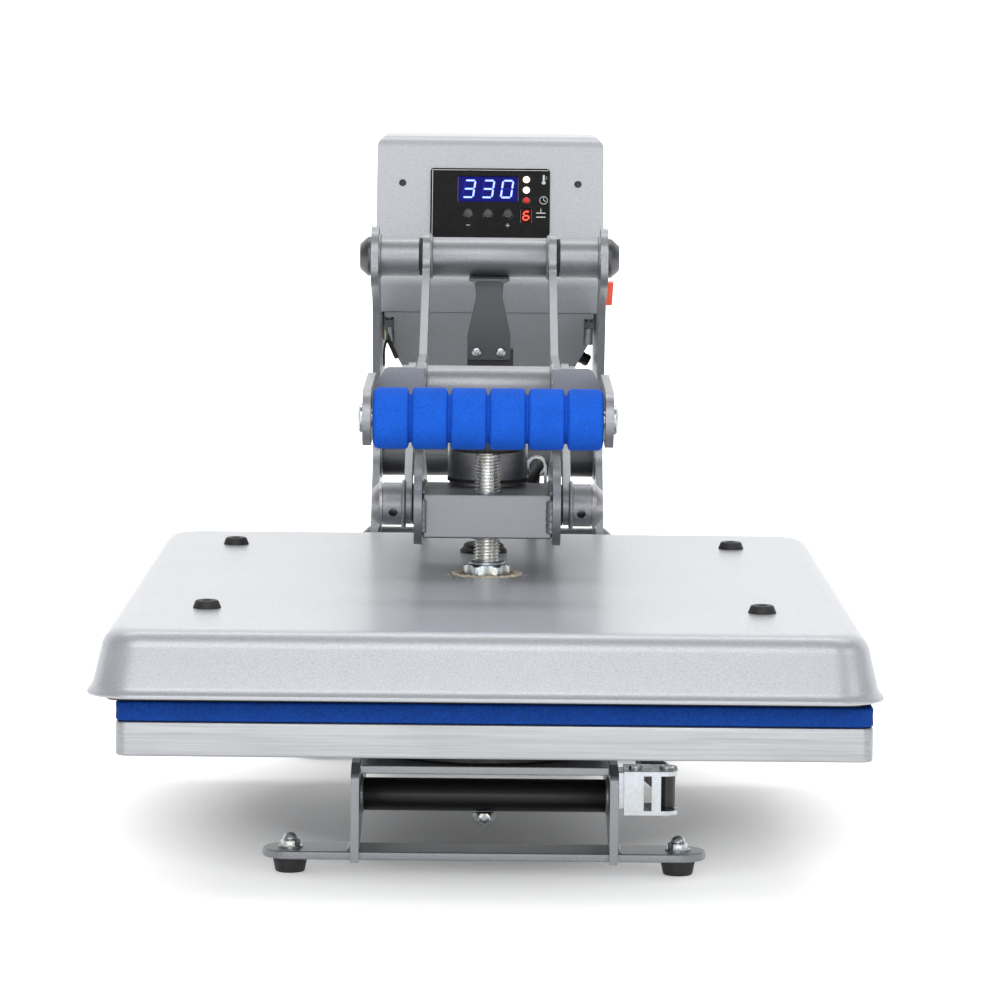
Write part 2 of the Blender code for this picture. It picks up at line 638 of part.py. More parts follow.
def toggle_links():
    """A link plate with its welded collar, and the head of the toggle pin at its upper end."""
    pin = toggle_pin()
    inner, outer, radius = LINK_INNER, LINK_INNER + 0.0045, 0.0122
    slope = atan2(pin[1] - LINK_PIVOT[1], pin[0] - LINK_PIVOT[0]) * 180 / pi
    outline = arc(LINK_PIVOT, radius, slope + 90, slope + 270, 8)
    outline += arc(pin, radius, slope - 90, slope + 90, 8)
    plate = side_mesh(outline, inner, outer, [circle(LINK_PIVOT, SHAFT_RADIUS + GAP, 20)])
    head = [(0, outer + 0.0065), (0.0070, outer + 0.0065), (0.0105, outer + 0.0030),
            (0.0105, outer - 0.001), (0, outer - 0.001)]
    collar = turned_mesh(ring_profile(TUBE_RADIUS, SHAFT_RADIUS + 0.0002, outer - 0.001, COLLAR_OUTER),
                         along_x(LINK_PIVOT))
    whole = boolean_mesh(plate, [turned_mesh(head, along_x(pin), 20), collar], "UNION")
    screw_hole = Matrix.Translation((0.0555, LINK_PIVOT[0] - 0.012, LINK_PIVOT[1] - 0.004))
    drill = turned_mesh(solid_profile(0.0026, -0.010, 0.008),
                        screw_hole @ Matrix.Rotation(pi / 2, 4, "X"), 12)
    right = boolean_mesh(whole, [drill], "DIFFERENCE")
    return [as_node("toggle_link_left", mirrored(right), "silver_paint"),
            as_node("toggle_link_right", right, "silver_paint")]


# ---------------------------------------------------------------- handle
def handle():
    outline = rounded([
        (0.1505, 0.3515, 0.0155), (0.1195, 0.3515, 0.0155), (0.1195, 0.3300, 0.010),
        (0.0050, 0.2815, 0.010), (-0.1150, 0.2815, 0), (-0.1150, 0.2530, 0.004),
        (0.0200, 0.2480, 0.020), (0.1505, 0.3210, 0.020),
    ], 6)
    holes = [circle(HANDLE_PIVOT, SHAFT_RADIUS + GAP, 20), circle(toggle_pin(), 0.0065, 20)]
    arm = side_mesh(outline, HANDLE_ARM_INNER, HANDLE_ARM_INNER + STEEL, holes)
    right = boolean_mesh(arm, handle_yoke(), "UNION")
    made = [as_node("handle_arm_left", mirrored(right), "silver_paint"),
            as_node("handle_arm_right", right, "silver_paint")]
    half = HANDLE_ARM_INNER - GAP
    hub = turned_mesh(ring_profile(TUBE_RADIUS, SHAFT_RADIUS + GAP, -half, half),
                      along_x(HANDLE_PIVOT), 28)
    brace = turned_mesh(solid_profile(TUBE_RADIUS, -half, half), along_x((-0.097, 0.2694)), 28)
    made.append(as_node("handle_hub_tube", hub, "silver_paint"))
    made.append(as_node("handle_brace_tube", brace, "silver_paint"))
    bore = 0.0053
    foam = turned_mesh(ring_profile(GRIP_RADIUS, bore, -GRIP_HALF, GRIP_HALF), along_x(GRIP_AXIS), 28)
    made.append(as_node("foam_grip", foam, "blue_foam"))
    face, end = EAR_INNER + STEEL + GAP, 0.0739
    bolt = [(0, end), (0.0065, end), (0.00825, end - 0.0008), (0.00825, face), (0.0050, face)]
    bolt += [(r, -h) for r, h in reversed(bolt)]
    made.append(as_node("grip_bolt", turned_mesh(bolt, along_x(GRIP_AXIS), 20), "zinc"))
    strike = [(-half, -0.082), (half, -0.082), (half, -0.034), (-half, -0.034)]
    made.append(as_node("strike_plate", level_mesh(strike, MAGNET_TOP + 0.0004, 0.2480), "steel"))
    return made + handle_sensor()


def handle_yoke():
    """The wing plate and the ear that carry the grip at the front of the right arm."""
    inner = HANDLE_ARM_INNER + STEEL - 0.001
    wing = front_mesh(rounded([(inner, 0.2530, 0), (EAR_INNER + 0.001, 0.2530, 0),
                               (EAR_INNER + 0.001, 0.2700, 0), (EAR_INNER - 0.0055, 0.2820, 0.004),
                               (inner, 0.2820, 0)], 3), -0.1150, -0.1102)
    ear = side_mesh(rounded([
        (-0.2365, 0.2770, 0.0163), (-0.2365, 0.2442, 0.0163), (-0.1102, 0.2480, 0.006),
        (-0.1102, 0.2790, 0.006),
    ], 6), EAR_INNER, EAR_INNER + STEEL, [circle(GRIP_AXIS, 0.0053, 16)])
    return [wing, ear]


def handle_sensor():
    """The bracket under the hub tube, with the switch magnet that starts the timer."""
    top, flange = HANDLE_PIVOT[1] - TUBE_RADIUS - GAP, 0.0020
    low, front, back = 0.2698, 0.1290, 0.1310
    vase = rounded([(-0.0139, low, 0.002), (0.0139, low, 0.002), (0.0139, low + 0.016, 0.02),
                    (0.0084, top - 0.012, 0.02), (0.0095, top - 0.001, 0), (-0.0095, top - 0.001, 0),
                    (-0.0084, top - 0.012, 0.02), (-0.0139, low + 0.016, 0.02)], 4)
    plate = front_mesh(vase, front, back)
    shelf = box_mesh((-0.0130, 0.1220, top - flange), (0.0130, 0.1480, top))
    bracket = as_node("sensor_bracket", boolean_mesh(plate, [shelf], "UNION"), "grey_paint")
    block = as_node("sensor_block", box_mesh((-0.0139, back + GAP, 0.2580), (0.0160, 0.1480, 0.2770)),
                    "black_plastic")
    return [bracket, block]


# ---------------------------------------------------------------- control box
def case_side(inset, low):
    """The box's side outline, in by inset, open to the given bottom edge."""
    slope = tan(FACE_TILT)
    face = PANEL_TOP[0] + inset / cos(FACE_TILT)
    top, bend = 0.4110 - inset, 0.3150
    radius = 0.011 - inset
    return rounded([
        (0.2440 + (0.2940 - low) * CASE_UNDERCUT + inset * 1.13, low, 0),
        (face + (bend - PANEL_TOP[1]) * slope, bend, 0.010),
        (face + (top - PANEL_TOP[1]) * slope, top, radius), (0.4000 - inset, top, radius),
        (0.4000 - inset, low, 0),
    ], 5)


def control_housing():
    bottom, wall = 0.2940, 0.0020
    outer = side_mesh(case_side(0, bottom), -CASE_HALF, CASE_HALF)
    crown = front_mesh(rounded([(-CASE_HALF, bottom - 0.01, 0), (CASE_HALF, bottom - 0.01, 0),
                                (CASE_HALF, 0.4110, 0.0075), (-CASE_HALF, 0.4110, 0.0075)], 5),
                       0.20, 0.42)
    body = boolean_mesh(outer, [crown], "INTERSECT")
    hollow = side_mesh(case_side(wall, bottom - 0.02), wall - CASE_HALF, CASE_HALF - wall)
    switch_window = box_mesh((CASE_HALF - 0.004, 0.2617, 0.2962), (CASE_HALF + 0.01, 0.2863, 0.3158))
    inlet_window = box_mesh((-0.0142, 0.39, 0.3177), (0.0142, 0.41, 0.3423))
    shell = boolean_mesh(body, [hollow, switch_window, inlet_window], "DIFFERENCE")
    as_node("control_housing", shell, "silver_paint")


def lower_cover():
    """The tapered tray under the box, with a notch for the fixing screw at each front corner."""
    def body(x_top, x_low, front, back, low, high):
        shoulder = 0.2780
        across = front_mesh(rounded([(-x_top, high, 0), (-x_top, shoulder, 0.006), (-x_low, low, 0.006),
                                     (x_low, low, 0.006), (x_top, shoulder, 0.006), (x_top, high, 0)],
                                    3), front - 0.01, back + 0.01)
        lean = (high - low) * CASE_UNDERCUT
        along = side_mesh(rounded([(front, high, 0), (front + lean, low, 0.006),
                                   (back - 0.035, low, 0.006), (back, high, 0)], 3), -0.09, 0.09)
        return boolean_mesh(across, [along], "INTERSECT")

    outer = body(0.0700, 0.0400, 0.2450, 0.3850, 0.2220, 0.2937)
    hollow = body(0.0580, 0.0350, 0.2640, 0.3650, 0.2250, 0.3000)
    notches = [box_mesh((min(s * 0.0636, s * 0.0720), 0.2300, 0.2720),
                        (max(s * 0.0636, s * 0.0720), 0.2620, 0.2900)) for s in (-1, 1)]
    as_node("lower_cover", boolean_mesh(outer, [hollow, *notches], "DIFFERENCE"), "silver_paint")


def case_hardware():
    lean = Matrix.Translation((0.0617, 0.285, 0.2625)) @ Matrix.Rotation(radians(118), 4, "Y")
    gland = [(0, 0.0075), (0.0030, 0.0075), (0.0042, 0.0062), (0.0042, 0.0003), (0, 0.0003)]
    as_node("cable_gland", turned_mesh(gland, lean, 16), "black_plastic")
    inlet = box_mesh((-0.0137, 0.3850, 0.3182), (0.0137, 0.3995, 0.3418))
    socket = box_mesh((-0.0115, 0.3880, 0.3220), (0.0115, 0.4100, 0.3380))
    as_node("power_inlet", boolean_mesh(inlet, [socket], "DIFFERENCE"), "black_plastic")
    as_node("control_board", box_mesh((-0.055, 0.300, 0.305), (0.055, 0.3016, 0.385)),
            "board_green")
    as_node("heater_lead_frame", tube_mesh(smooth_route(FRAME_LEAD), LEAD_RADIUS), "black_rubber")
    rocker = front_mesh([(0.0745, 0.2985), (0.0828, 0.2985), (0.0832, 0.3060), (0.0838, 0.3140),
                         (0.0745, 0.3135)], 0.2625, 0.2855)
    switch = as_node("power_rocker", rocker, "red_plastic")
    hang("rocker_pivot", (0.0765, 0.274, 0.306), [switch])


def control_panel():
    def window(half_x, half_y, across, drop):
        return [(across - half_x, -drop - half_y), (across + half_x, -drop - half_y),
                (across + half_x, -drop + half_y), (across - half_x, -drop + half_y)]

    blue = (0.0200, 0.00875, -0.00145, 0.01445)
    red = (0.0035, 0.00465, 0.0242, 0.0330)
    lamps = [(0.0242, -drop) for drop in (0.0074, 0.0148, 0.0221)]
    buttons = {name: (across, -BUTTON_DROP) for name, across in BUTTON_PLACES.items()}
    holes = [window(w[0] + GAP, w[1] + GAP, w[2], w[3]) for w in (blue, red)]
    holes += [circle(p, 0.0026, 14) for p in lamps]
    holes += [circle(p, BUTTON_RADIUS + GAP, 20) for p in buttons.values()]
    width, height = PANEL_SIZE
    outline = rounded([(-width / 2, -height, 0.002), (width / 2, -height, 0.002),
                       (width / 2, 0, 0.002), (-width / 2, 0, 0.002)], 3)

    def on_face(mesh, low, high):
        mesh.transform(face_place(0, 0, (low + high) / 2))
        return mesh

    low, high = GAP, 0.0015
    panel = on_face(flat_mesh(outline, high - low, holes), low, high)
    as_node("display_panel", panel, "black_plastic")
    as_node("display_window", on_face(flat_mesh(window(*blue), 0.0009), low, 0.0012), "blue_display")
    as_node("count_window", on_face(flat_mesh(window(*red), 0.0009), low, 0.0012), "red_display")
    for name, (across, down) in buttons.items():
        cap = [(0, 0.0031), (BUTTON_RADIUS - 0.0005, 0.0031), (BUTTON_RADIUS, 0.0026),
               (BUTTON_RADIUS, 0.0014), (0, 0.0014)]
        button = as_node("button_" + name, turned_mesh(cap, face_place(across, -down), 20),
                         "black_plastic")
        hang("travel_" + name, face_place(across, -down).translation, [button])


# ---------------------------------------------------------------- the whole press
clear_scene()
PRESS = collection("heat_press")
CUTTERS = collection("cutters")

side_plates()
cross_members()
feet()
pivot_shafts()
lower_platen()
platen_latch()
control_housing()
lower_cover()
case_hardware()
control_panel()

main_hinge = hang("main_hinge", (0, *MAIN_PIVOT), platen_arms())
head_slide = hang("head_slide", (0, SPINDLE_Y, COVER_HIGH), heat_head())
screw_axis = hang("spindle_axis", (0, SPINDLE_Y, 0.2), pressure_screw())
link_hinge = hang("link_pivot", (0, *LINK_PIVOT), toggle_links())
hang("handle_pivot", (0, *HANDLE_PIVOT), handle())
for rider, carrier in ((head_slide, main_hinge), (screw_axis, head_slide), (link_hinge, main_hinge)):
    rider.parent = carrier
    rider.matrix_parent_inverse = Matrix.Translation(carrier.location).inverted()
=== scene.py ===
"""Looks of the clamshell heat press: fine meshes, procedural materials, light and camera."""

import json
from math import ceil, cos, pi, radians, sin
from random import Random

import bmesh
import bpy
from mathutils import Matrix, Vector, noise

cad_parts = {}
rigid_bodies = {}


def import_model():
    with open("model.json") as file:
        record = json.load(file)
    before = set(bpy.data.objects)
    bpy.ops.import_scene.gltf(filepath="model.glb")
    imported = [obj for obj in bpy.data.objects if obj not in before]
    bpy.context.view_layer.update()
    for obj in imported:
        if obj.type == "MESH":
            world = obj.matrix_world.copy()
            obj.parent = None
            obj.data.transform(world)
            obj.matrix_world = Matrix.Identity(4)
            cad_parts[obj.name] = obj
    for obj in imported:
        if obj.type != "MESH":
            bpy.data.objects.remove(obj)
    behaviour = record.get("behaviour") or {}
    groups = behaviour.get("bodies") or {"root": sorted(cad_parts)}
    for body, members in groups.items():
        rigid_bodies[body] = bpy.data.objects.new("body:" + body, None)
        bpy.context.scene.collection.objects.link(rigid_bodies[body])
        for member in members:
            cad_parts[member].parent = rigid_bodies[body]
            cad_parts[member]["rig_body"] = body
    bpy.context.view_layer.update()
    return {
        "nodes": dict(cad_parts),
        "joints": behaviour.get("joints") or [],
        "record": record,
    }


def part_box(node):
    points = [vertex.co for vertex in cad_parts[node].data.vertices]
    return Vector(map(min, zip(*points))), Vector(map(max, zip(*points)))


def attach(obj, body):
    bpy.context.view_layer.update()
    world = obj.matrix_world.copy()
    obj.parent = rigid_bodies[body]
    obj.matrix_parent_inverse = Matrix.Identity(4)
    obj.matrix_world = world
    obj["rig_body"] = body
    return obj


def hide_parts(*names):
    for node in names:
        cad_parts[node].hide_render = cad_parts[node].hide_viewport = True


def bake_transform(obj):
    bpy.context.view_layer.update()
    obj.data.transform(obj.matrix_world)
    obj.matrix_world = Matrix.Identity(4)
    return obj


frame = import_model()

BODY = {node: obj["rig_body"] for node, obj in frame["nodes"].items()}
SLOT = {s["node"]: s["material_slot"] for s in frame["record"]["subparts"]}
JOINT = {j["name"]: j for j in frame["joints"]}


# ---------------- node materials
class Surface:
    """A Principled material, with short calls that add its procedural detail."""

    def __init__(self, name, colour, metallic=0.0, roughness=0.5, stretch=(1, 1, 1)):
        self.material = bpy.data.materials.new(name)
        self.material.use_nodes = True
        self.tree = self.material.node_tree
        self.shader = self.tree.nodes["Principled BSDF"]
        self.shader.inputs["Base Color"].default_value = (*colour, 1)
        self.shader.inputs["Metallic"].default_value = metallic
        self.shader.inputs["Roughness"].default_value = roughness
        self.colour, self.roughness = colour, roughness
        self.colour_out = self.rough_out = None
        self.height_out = []
        place = self.node("ShaderNodeTexCoord").outputs["Object"]
        self.mapping = self.node("ShaderNodeMapping", place, {"Scale": stretch})
        self.place = self.mapping.outputs["Vector"]

    def node(self, kind, vector=None, inputs=None, **settings):
        """Adds a node, gives it its settings and inputs, and joins its vector."""
        made = self.tree.nodes.new(kind)
        for key, value in settings.items():
            setattr(made, key, value)
        for key, value in (inputs or {}).items():
            made.inputs[key].default_value = value
        if vector:
            self.join(vector, made.inputs["Vector"])
        return made

    def join(self, source, target):
        self.tree.links.new(source, target)

    def noise(self, scale, detail=3.0, rough=0.5, stretch=None):
        place = self.place
        if stretch:
            place = self.node("ShaderNodeMapping", place, {"Scale": stretch}).outputs["Vector"]
        made = self.node("ShaderNodeTexNoise", place,
                         {"Scale": scale, "Detail": detail, "Roughness": rough})
        return made.outputs["Fac"]

    def span(self, value, low, high, from_low=0.3, from_high=0.7):
        made = self.node("ShaderNodeMapRange", None, {"From Min": from_low, "From Max": from_high,
                                                      "To Min": low, "To Max": high})
        self.join(value, made.inputs["Value"])
        return made.outputs["Result"]

    def feed(self, target):
        """Gives an input the colour so far."""
        if self.colour_out:
            self.join(self.colour_out, target)
        else:
            target.default_value = (*self.colour, 1)[:len(target.default_value)]

    def shade(self, value, amount):
        """Lightens and darkens the colour by amount, after value."""
        factor = self.span(value, 1 - amount, 1 + amount)
        mix = self.node("ShaderNodeVectorMath", operation="SCALE")
        self.feed(mix.inputs[0])
        self.join(factor, mix.inputs["Scale"])
        self.colour_out = mix.outputs["Vector"]
        return self

    def tint(self, value, colour, low=0.45, high=0.6):
        """Turns towards colour where value is high."""
        mix = self.node("ShaderNodeMix", data_type="RGBA")
        self.join(self.span(value, 0, 1, low, high), mix.inputs["Factor"])
        self.feed(mix.inputs[6])
        mix.inputs[7].default_value = (*colour, 1)
        self.colour_out = mix.outputs[2]
        return self

    def rough(self, value, amount):
        self.rough_out = self.span(value, self.roughness - amount, self.roughness + amount)
        return self

    def bump(self, value, depth):
        self.height_out.append((value, depth))
        return self

    def done(self, **inputs):
        for name, number in inputs.items():
            self.shader.inputs[name.replace("_", " ")].default_value = number
        if self.colour_out:
            self.join(self.colour_out, self.shader.inputs["Base Color"])
        if self.rough_out:
            self.join(self.rough_out, self.shader.inputs["Roughness"])
        normal = None
        for value, depth in self.height_out:
            made = self.node("ShaderNodeBump", None, {"Strength": 1.0, "Distance": depth})
            self.join(value, made.inputs["Height"])
            if normal:
                self.join(normal, made.inputs["Normal"])
            normal = made.outputs["Normal"]
        if normal:
            self.join(normal, self.shader.inputs["Normal"])
        return self.material


def metallic_paint(name, colour, roughness, metallic=0.85):
    """Sprayed paint with fine metal flake under a thin clear coat."""
    made = Surface(name, colour, metallic, roughness)
    made.shade(made.noise(2000, 2), 0.2).shade(made.noise(12), 0.012)
    made.rough(made.noise(900), 0.04).bump(made.noise(1500, 2), 0.00001)
    return made.done(Coat_Weight=0.25, Coat_Roughness=0.22)


def machined_steel():
    made = Surface("machined_steel", (0.36, 0.365, 0.375), 1.0, 0.42)
    made.shade(made.noise(900, 2, 0.6, (0.04, 1, 1)), 0.1).shade(made.noise(45), 0.08)
    made.rough(made.noise(70), 0.08).bump(made.noise(1200, 2, 0.6, (0.04, 1, 1)), 0.00001)
    return made.done()


def zinc_plate():
    made = Surface("zinc_plate", (0.47, 0.5, 0.53), 1.0, 0.3)
    made.tint(made.noise(90, 3), (0.46, 0.45, 0.38), 0.52, 0.72).shade(made.noise(400), 0.05)
    made.rough(made.noise(150), 0.09).bump(made.noise(700), 0.00002)
    return made.done()


def brushed_aluminium():
    made = Surface("brushed_aluminium", (0.33, 0.34, 0.35), 0.9, 0.36)
    made.shade(made.noise(700, 3, 0.6, (0.02, 1, 1)), 0.12).shade(made.noise(14), 0.05)
    made.rough(made.noise(300, 3, 0.5, (0.03, 1, 1)), 0.08)
    made.bump(made.noise(900, 2, 0.6, (0.02, 1, 1)), 0.00002)
    return made.done()


def cast_grey():
    # The near-black base is partly painted shade: the dark grey of cast metal, darkened further for
    # the shadow under the platen where the disc stands.
    made = Surface("cast_grey", (0.01, 0.01, 0.011), 0.1, 0.6)
    made.shade(made.noise(260, 4), 0.2).rough(made.noise(120), 0.1)
    made.bump(made.noise(600, 3), 0.00008)
    return made.done()


def moulded(name, colour, roughness):
    made = Surface(name, colour, 0.0, roughness)
    made.shade(made.noise(900, 3), 0.12).shade(made.noise(50), 0.08)
    made.rough(made.noise(200), 0.08).bump(made.noise(900, 2), 0.00003)
    return made.done()


def blue_foam():
    made = Surface("blue_foam", (0.01, 0.098, 0.57), 0.0, 0.85)
    made.shade(made.noise(1500, 4, 0.6), 0.28).shade(made.noise(90), 0.06)
    made.rough(made.noise(400), 0.05).bump(made.noise(1100, 4, 0.65), 0.00022)
    return made.done(Specular_IOR_Level=0.12)


def blue_silicone():
    # The deep blue base is partly painted shade: the sponge's blue, darkened to match the pad where
    # the cover's overhang shades it.
    made = Surface("blue_silicone", (0.003, 0.038, 0.22), 0.0, 0.75)
    made.shade(made.noise(900, 4, 0.7), 0.3).shade(made.noise(60), 0.08)
    made.bump(made.noise(700, 4, 0.7), 0.0004)
    return made.done(Specular_IOR_Level=0.12)


def fibre():
    made = Surface("ceramic_fibre", (0.72, 0.64, 0.46), 0.0, 0.95)
    made.shade(made.noise(300, 4), 0.2).tint(made.noise(160), (0.45, 0.36, 0.22), 0.5, 0.7)
    made.bump(made.noise(900, 4), 0.0004)
    return made.done(Sheen_Weight=0.3)


def light_up(name, colour, glow, strength, gloss=0.5):
    made = Surface(name, colour, 0.0, 0.45)
    made.shade(made.noise(500), 0.06)
    material = made.done(Emission_Strength=strength, Specular_IOR_Level=gloss)
    made.shader.inputs["Emission Color"].default_value = (*glow, 1)
    return material


MATERIALS = {
    "silver_paint": metallic_paint("silver_paint_fine", (0.275, 0.285, 0.3), 0.46),
    "grey_paint": metallic_paint("grey_paint_fine", (0.085, 0.088, 0.095), 0.5),
    "steel": machined_steel(),
    "zinc": zinc_plate(),
    "aluminium": brushed_aluminium(),
    "cast_grey": cast_grey(),
    "black_plate": moulded("black_plate_fine", (0.025, 0.025, 0.027), 0.5),
    "black_rubber": moulded("black_rubber_fine", (0.018, 0.018, 0.019), 0.62),
    "black_plastic": moulded("black_plastic_fine", (0.016, 0.016, 0.017), 0.38),
    "blue_silicone": blue_silicone(),
    "blue_foam": blue_foam(),
    "insulation": fibre(),
    "blue_display": light_up("display_blue", (0.001, 0.001, 0.03), (0.002, 0.002, 0.22), 0.6, 0.1),
    "red_display": light_up("display_red", (0.02, 0.001, 0.001), (0.05, 0.001, 0.001), 0.5, 0.1),
    "red_plastic": moulded("red_plastic_fine", (0.8, 0.07, 0.008), 0.32),
    "board_green": moulded("board_green_fine", (0.02, 0.2, 0.07), 0.45),
}
COVER_PAINT = metallic_paint("cover_paint", (0.37, 0.387, 0.41), 0.4, 0.42)
CASE_PAINT = metallic_paint("case_paint", (0.395, 0.41, 0.435), 0.46, 0.25)
LIT_BLUE = light_up("segments_blue", (0.2, 0.3, 0.9), (0.17, 0.24, 1.0), 2.6)
DIM_BLUE = light_up("segments_dim", (0.002, 0.004, 0.06), (0.003, 0.01, 0.34), 0.8, 0.1)
LIT_RED = light_up("segments_red", (0.8, 0.08, 0.03), (1.0, 0.055, 0.02), 1.5)
LAMP_ON = light_up("lamp_on", (1.0, 0.85, 0.7), (1.0, 0.62, 0.4), 4.5)
LAMP_OFF = light_up("lamp_off", (0.5, 0.02, 0.02), (0.6, 0.02, 0.02), 0.35)
PANEL = moulded("panel_black", (0.006, 0.006, 0.007), 0.55)
PANEL.node_tree.nodes["Principled BSDF"].inputs["Specular IOR Level"].default_value = 0.15
PRINT = moulded("panel_print", (0.62, 0.62, 0.62), 0.5)


# ---------------- mesh tools
def in_scene(name, data):
    made = bpy.data.objects.new(name, data)
    bpy.context.scene.collection.objects.link(made)
    return made


def new_object(name, work, angle=40):
    """An object from a bmesh, welded, facing out, smooth except at sharp edges."""
    bmesh.ops.remove_doubles(work, verts=work.verts, dist=1e-6)
    bmesh.ops.recalc_face_normals(work, faces=work.faces)
    mesh = bpy.data.meshes.new(name)
    work.to_mesh(mesh)
    work.free()
    mesh.shade_smooth()
    mesh.set_sharp_from_angle(angle=radians(angle))
    return in_scene(name, mesh)


def skin(work, first, second):
    """Faces between two rings; a ring of one vertex is a point."""
    count = max(len(first), len(second))
    for i in range(count):
        j = (i + 1) % count
        corners = [first[i % len(first)], first[j % len(first)],
                   second[j % len(second)], second[i % len(second)]]
        unique = [v for k, v in enumerate(corners) if v not in corners[:k]]
        if len(unique) > 2:
            work.faces.new(unique)


def loft(name, rings, angle=40, closed=False, flat_ends=False):
    """A piece skinned over rings of points. Closed, its last ring joins its first."""
    work = bmesh.new()
    rings = [[work.verts.new(point) for point in ring] for ring in rings]
    for first, second in zip(rings, rings[1:] + rings[:1] if closed else rings[1:]):
        skin(work, first, second)
    if flat_ends:
        work.faces.new(rings[0])
        work.faces.new(rings[-1])
    return new_object(name, work, angle)


def around(count):
    """The angles of a ring of so many points."""
    return [2 * pi * i / count for i in range(count)]


def applied(piece):
    """Keeps the result of the piece's modifiers as its mesh."""
    bpy.context.view_layer.update()
    mesh = bpy.data.meshes.new_from_object(
        piece.evaluated_get(bpy.context.evaluated_depsgraph_get()))
    piece.modifiers.clear()
    piece.data = mesh
    return piece


def finish_piece(piece, slot, body, material=None, replaced=()):
    piece.data.materials.clear()
    piece.data.materials.append(material or MATERIALS[slot])
    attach(piece, body)
    if replaced:
        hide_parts(*replaced)
    return piece


def stand_in(piece, node, material=None):
    """Finishes a piece that is seen instead of a CAD node."""
    return finish_piece(piece, SLOT[node], BODY[node], material, [node])


def bevelled(piece, width):
    """Rounds the piece's edges and keeps the result as its mesh."""
    bevel = piece.modifiers.new("edges", "BEVEL")
    bevel.width, bevel.segments = width, 2
    bevel.limit_method = "ANGLE"
    bevel.angle_limit = radians(38)
    bevel.miter_outer = "MITER_ARC"
    piece.modifiers.new("normals", "WEIGHTED_NORMAL").weight = 100
    return applied(piece)


def refined(node, width, material=None):
    """A fine copy of a CAD node's own shape, with rounded edges, that stands for the node."""
    work = bmesh.new()
    work.from_mesh(frame["nodes"][node].data)
    bmesh.ops.remove_doubles(work, verts=work.verts, dist=2e-6)
    bmesh.ops.dissolve_limit(work, angle_limit=radians(0.6), verts=work.verts, edges=work.edges)
    return stand_in(bevelled(new_object(node + "_fine", work), width), node, material)


def lathe(name, profile, place, steps=48):
    """A turned piece from (radius, height) or (radius, height, sides): with sides, that ring
    is a polygon of so many sides. The profile runs down from the axis at the top."""
    rings = []
    for radius, height, *sides in profile:
        ring = []
        for angle in around(steps) if radius else [0]:
            reach = radius
            if sides:
                wedge = 2 * pi / sides[0]
                reach = radius * cos(wedge / 2) / cos((angle % wedge) - wedge / 2)
            ring.append(place @ Vector((reach * cos(angle), reach * sin(angle), height)))
        rings.append(ring)
    return loft(name, rings, closed=len(rings[0]) > 1 and len(rings[-1]) > 1)


def along_x(centre):
    """Turns a lathe's axis to +X, through (Y, Z) of centre."""
    return Matrix.Translation((0, centre[0], centre[1])) @ Matrix.Rotation(pi / 2, 4, "Y")


def upright(spot):
    """Stands a lathe's axis at (X, Y) of spot, with its heights as they are in the frame."""
    return Matrix.Translation((spot[0], spot[1], 0))


def towards(spot, direction):
    """Turns a lathe's axis to the given direction, from the given spot."""
    return Matrix.Translation(spot) @ Vector(direction).to_track_quat("Z", "Y").to_matrix().to_4x4()


def sweep(name, path, radius, sides):
    """A closed tube along a path, whose radius is a number or a function of the share run."""
    path = [Vector(p) for p in path]
    rings = []
    side = None
    for i, here in enumerate(path):
        ahead = path[min(i + 1, len(path) - 1)] - path[max(i - 1, 0)]
        ahead.normalize()
        if side is None:
            side = ahead.orthogonal().normalized()
        side = (side - ahead * side.dot(ahead)).normalized()
        up = ahead.cross(side)
        reach = radius(i / (len(path) - 1)) if callable(radius) else radius
        rings.append([here + (side * cos(a) + up * sin(a)) * reach for a in around(sides)])
    tips = [[sum(ring, Vector()) / sides + out.normalized() * 1e-5]
            for ring, out in ((rings[0], path[0] - path[1]), (rings[-1], path[-1] - path[-2]))]
    return loft(name, [tips[0], *rings, tips[1]], 60)


def smooth_route(places, steps):
    """Points on a smooth curve through the given places."""
    ends = [2 * Vector(places[0]) - Vector(places[1]), *map(Vector, places),
            2 * Vector(places[-1]) - Vector(places[-2])]
    route = []
    for i in range(1, len(ends) - 2):
        a, b, c, d = ends[i - 1:i + 3]
        for k in range(steps):
            t = k / steps
            route.append(0.5 * (2 * b + (c - a) * t + (2 * a - 5 * b + 4 * c - d) * t ** 2
                                + (3 * b - a - 3 * c + d) * t ** 3))
    return route + [ends[-2]]


def arc_points(centre, radius, start=0, end=360, count=24):
    """Points along an arc, with both of its ends."""
    angles = [radians(start + (end - start) * k / count) for k in range(count + 1)]
    return [(centre[0] + radius * cos(a), centre[1] + radius * sin(a)) for a in angles]


def rounded_rectangle(half_x, half_y, centre, radius, corner_steps, side_steps):
    """Points round a rectangle, with arcs at its corners and even steps along its sides."""
    arcs = []
    for side_x, side_y, start in ((1, -1, -90), (1, 1, 0), (-1, 1, 90), (-1, -1, 180)):
        middle = (centre[0] + side_x * (half_x - radius), centre[1] + side_y * (half_y - radius))
        arcs.append([Vector(point) for point in
                     arc_points(middle, radius, start, start + 90, corner_steps)])
    points = []
    for arc, following in zip(arcs, arcs[1:] + arcs[:1]):
        points += arc
        points += [arc[-1].lerp(following[0], k / side_steps) for k in range(1, side_steps)]
    return points


def box_piece(name, low, high, bevel=0.0, place=Matrix()):
    work = bmesh.new()
    bmesh.ops.create_cube(work, size=1)
    bmesh.ops.scale(work, vec=Vector(high) - Vector(low), verts=work.verts)
    bmesh.ops.translate(work, vec=(Vector(high) + Vector(low)) / 2, verts=work.verts)
    bmesh.ops.transform(work, matrix=place, verts=work.verts)
    piece = new_object(name, work)
    return bevelled(piece, bevel) if bevel else piece


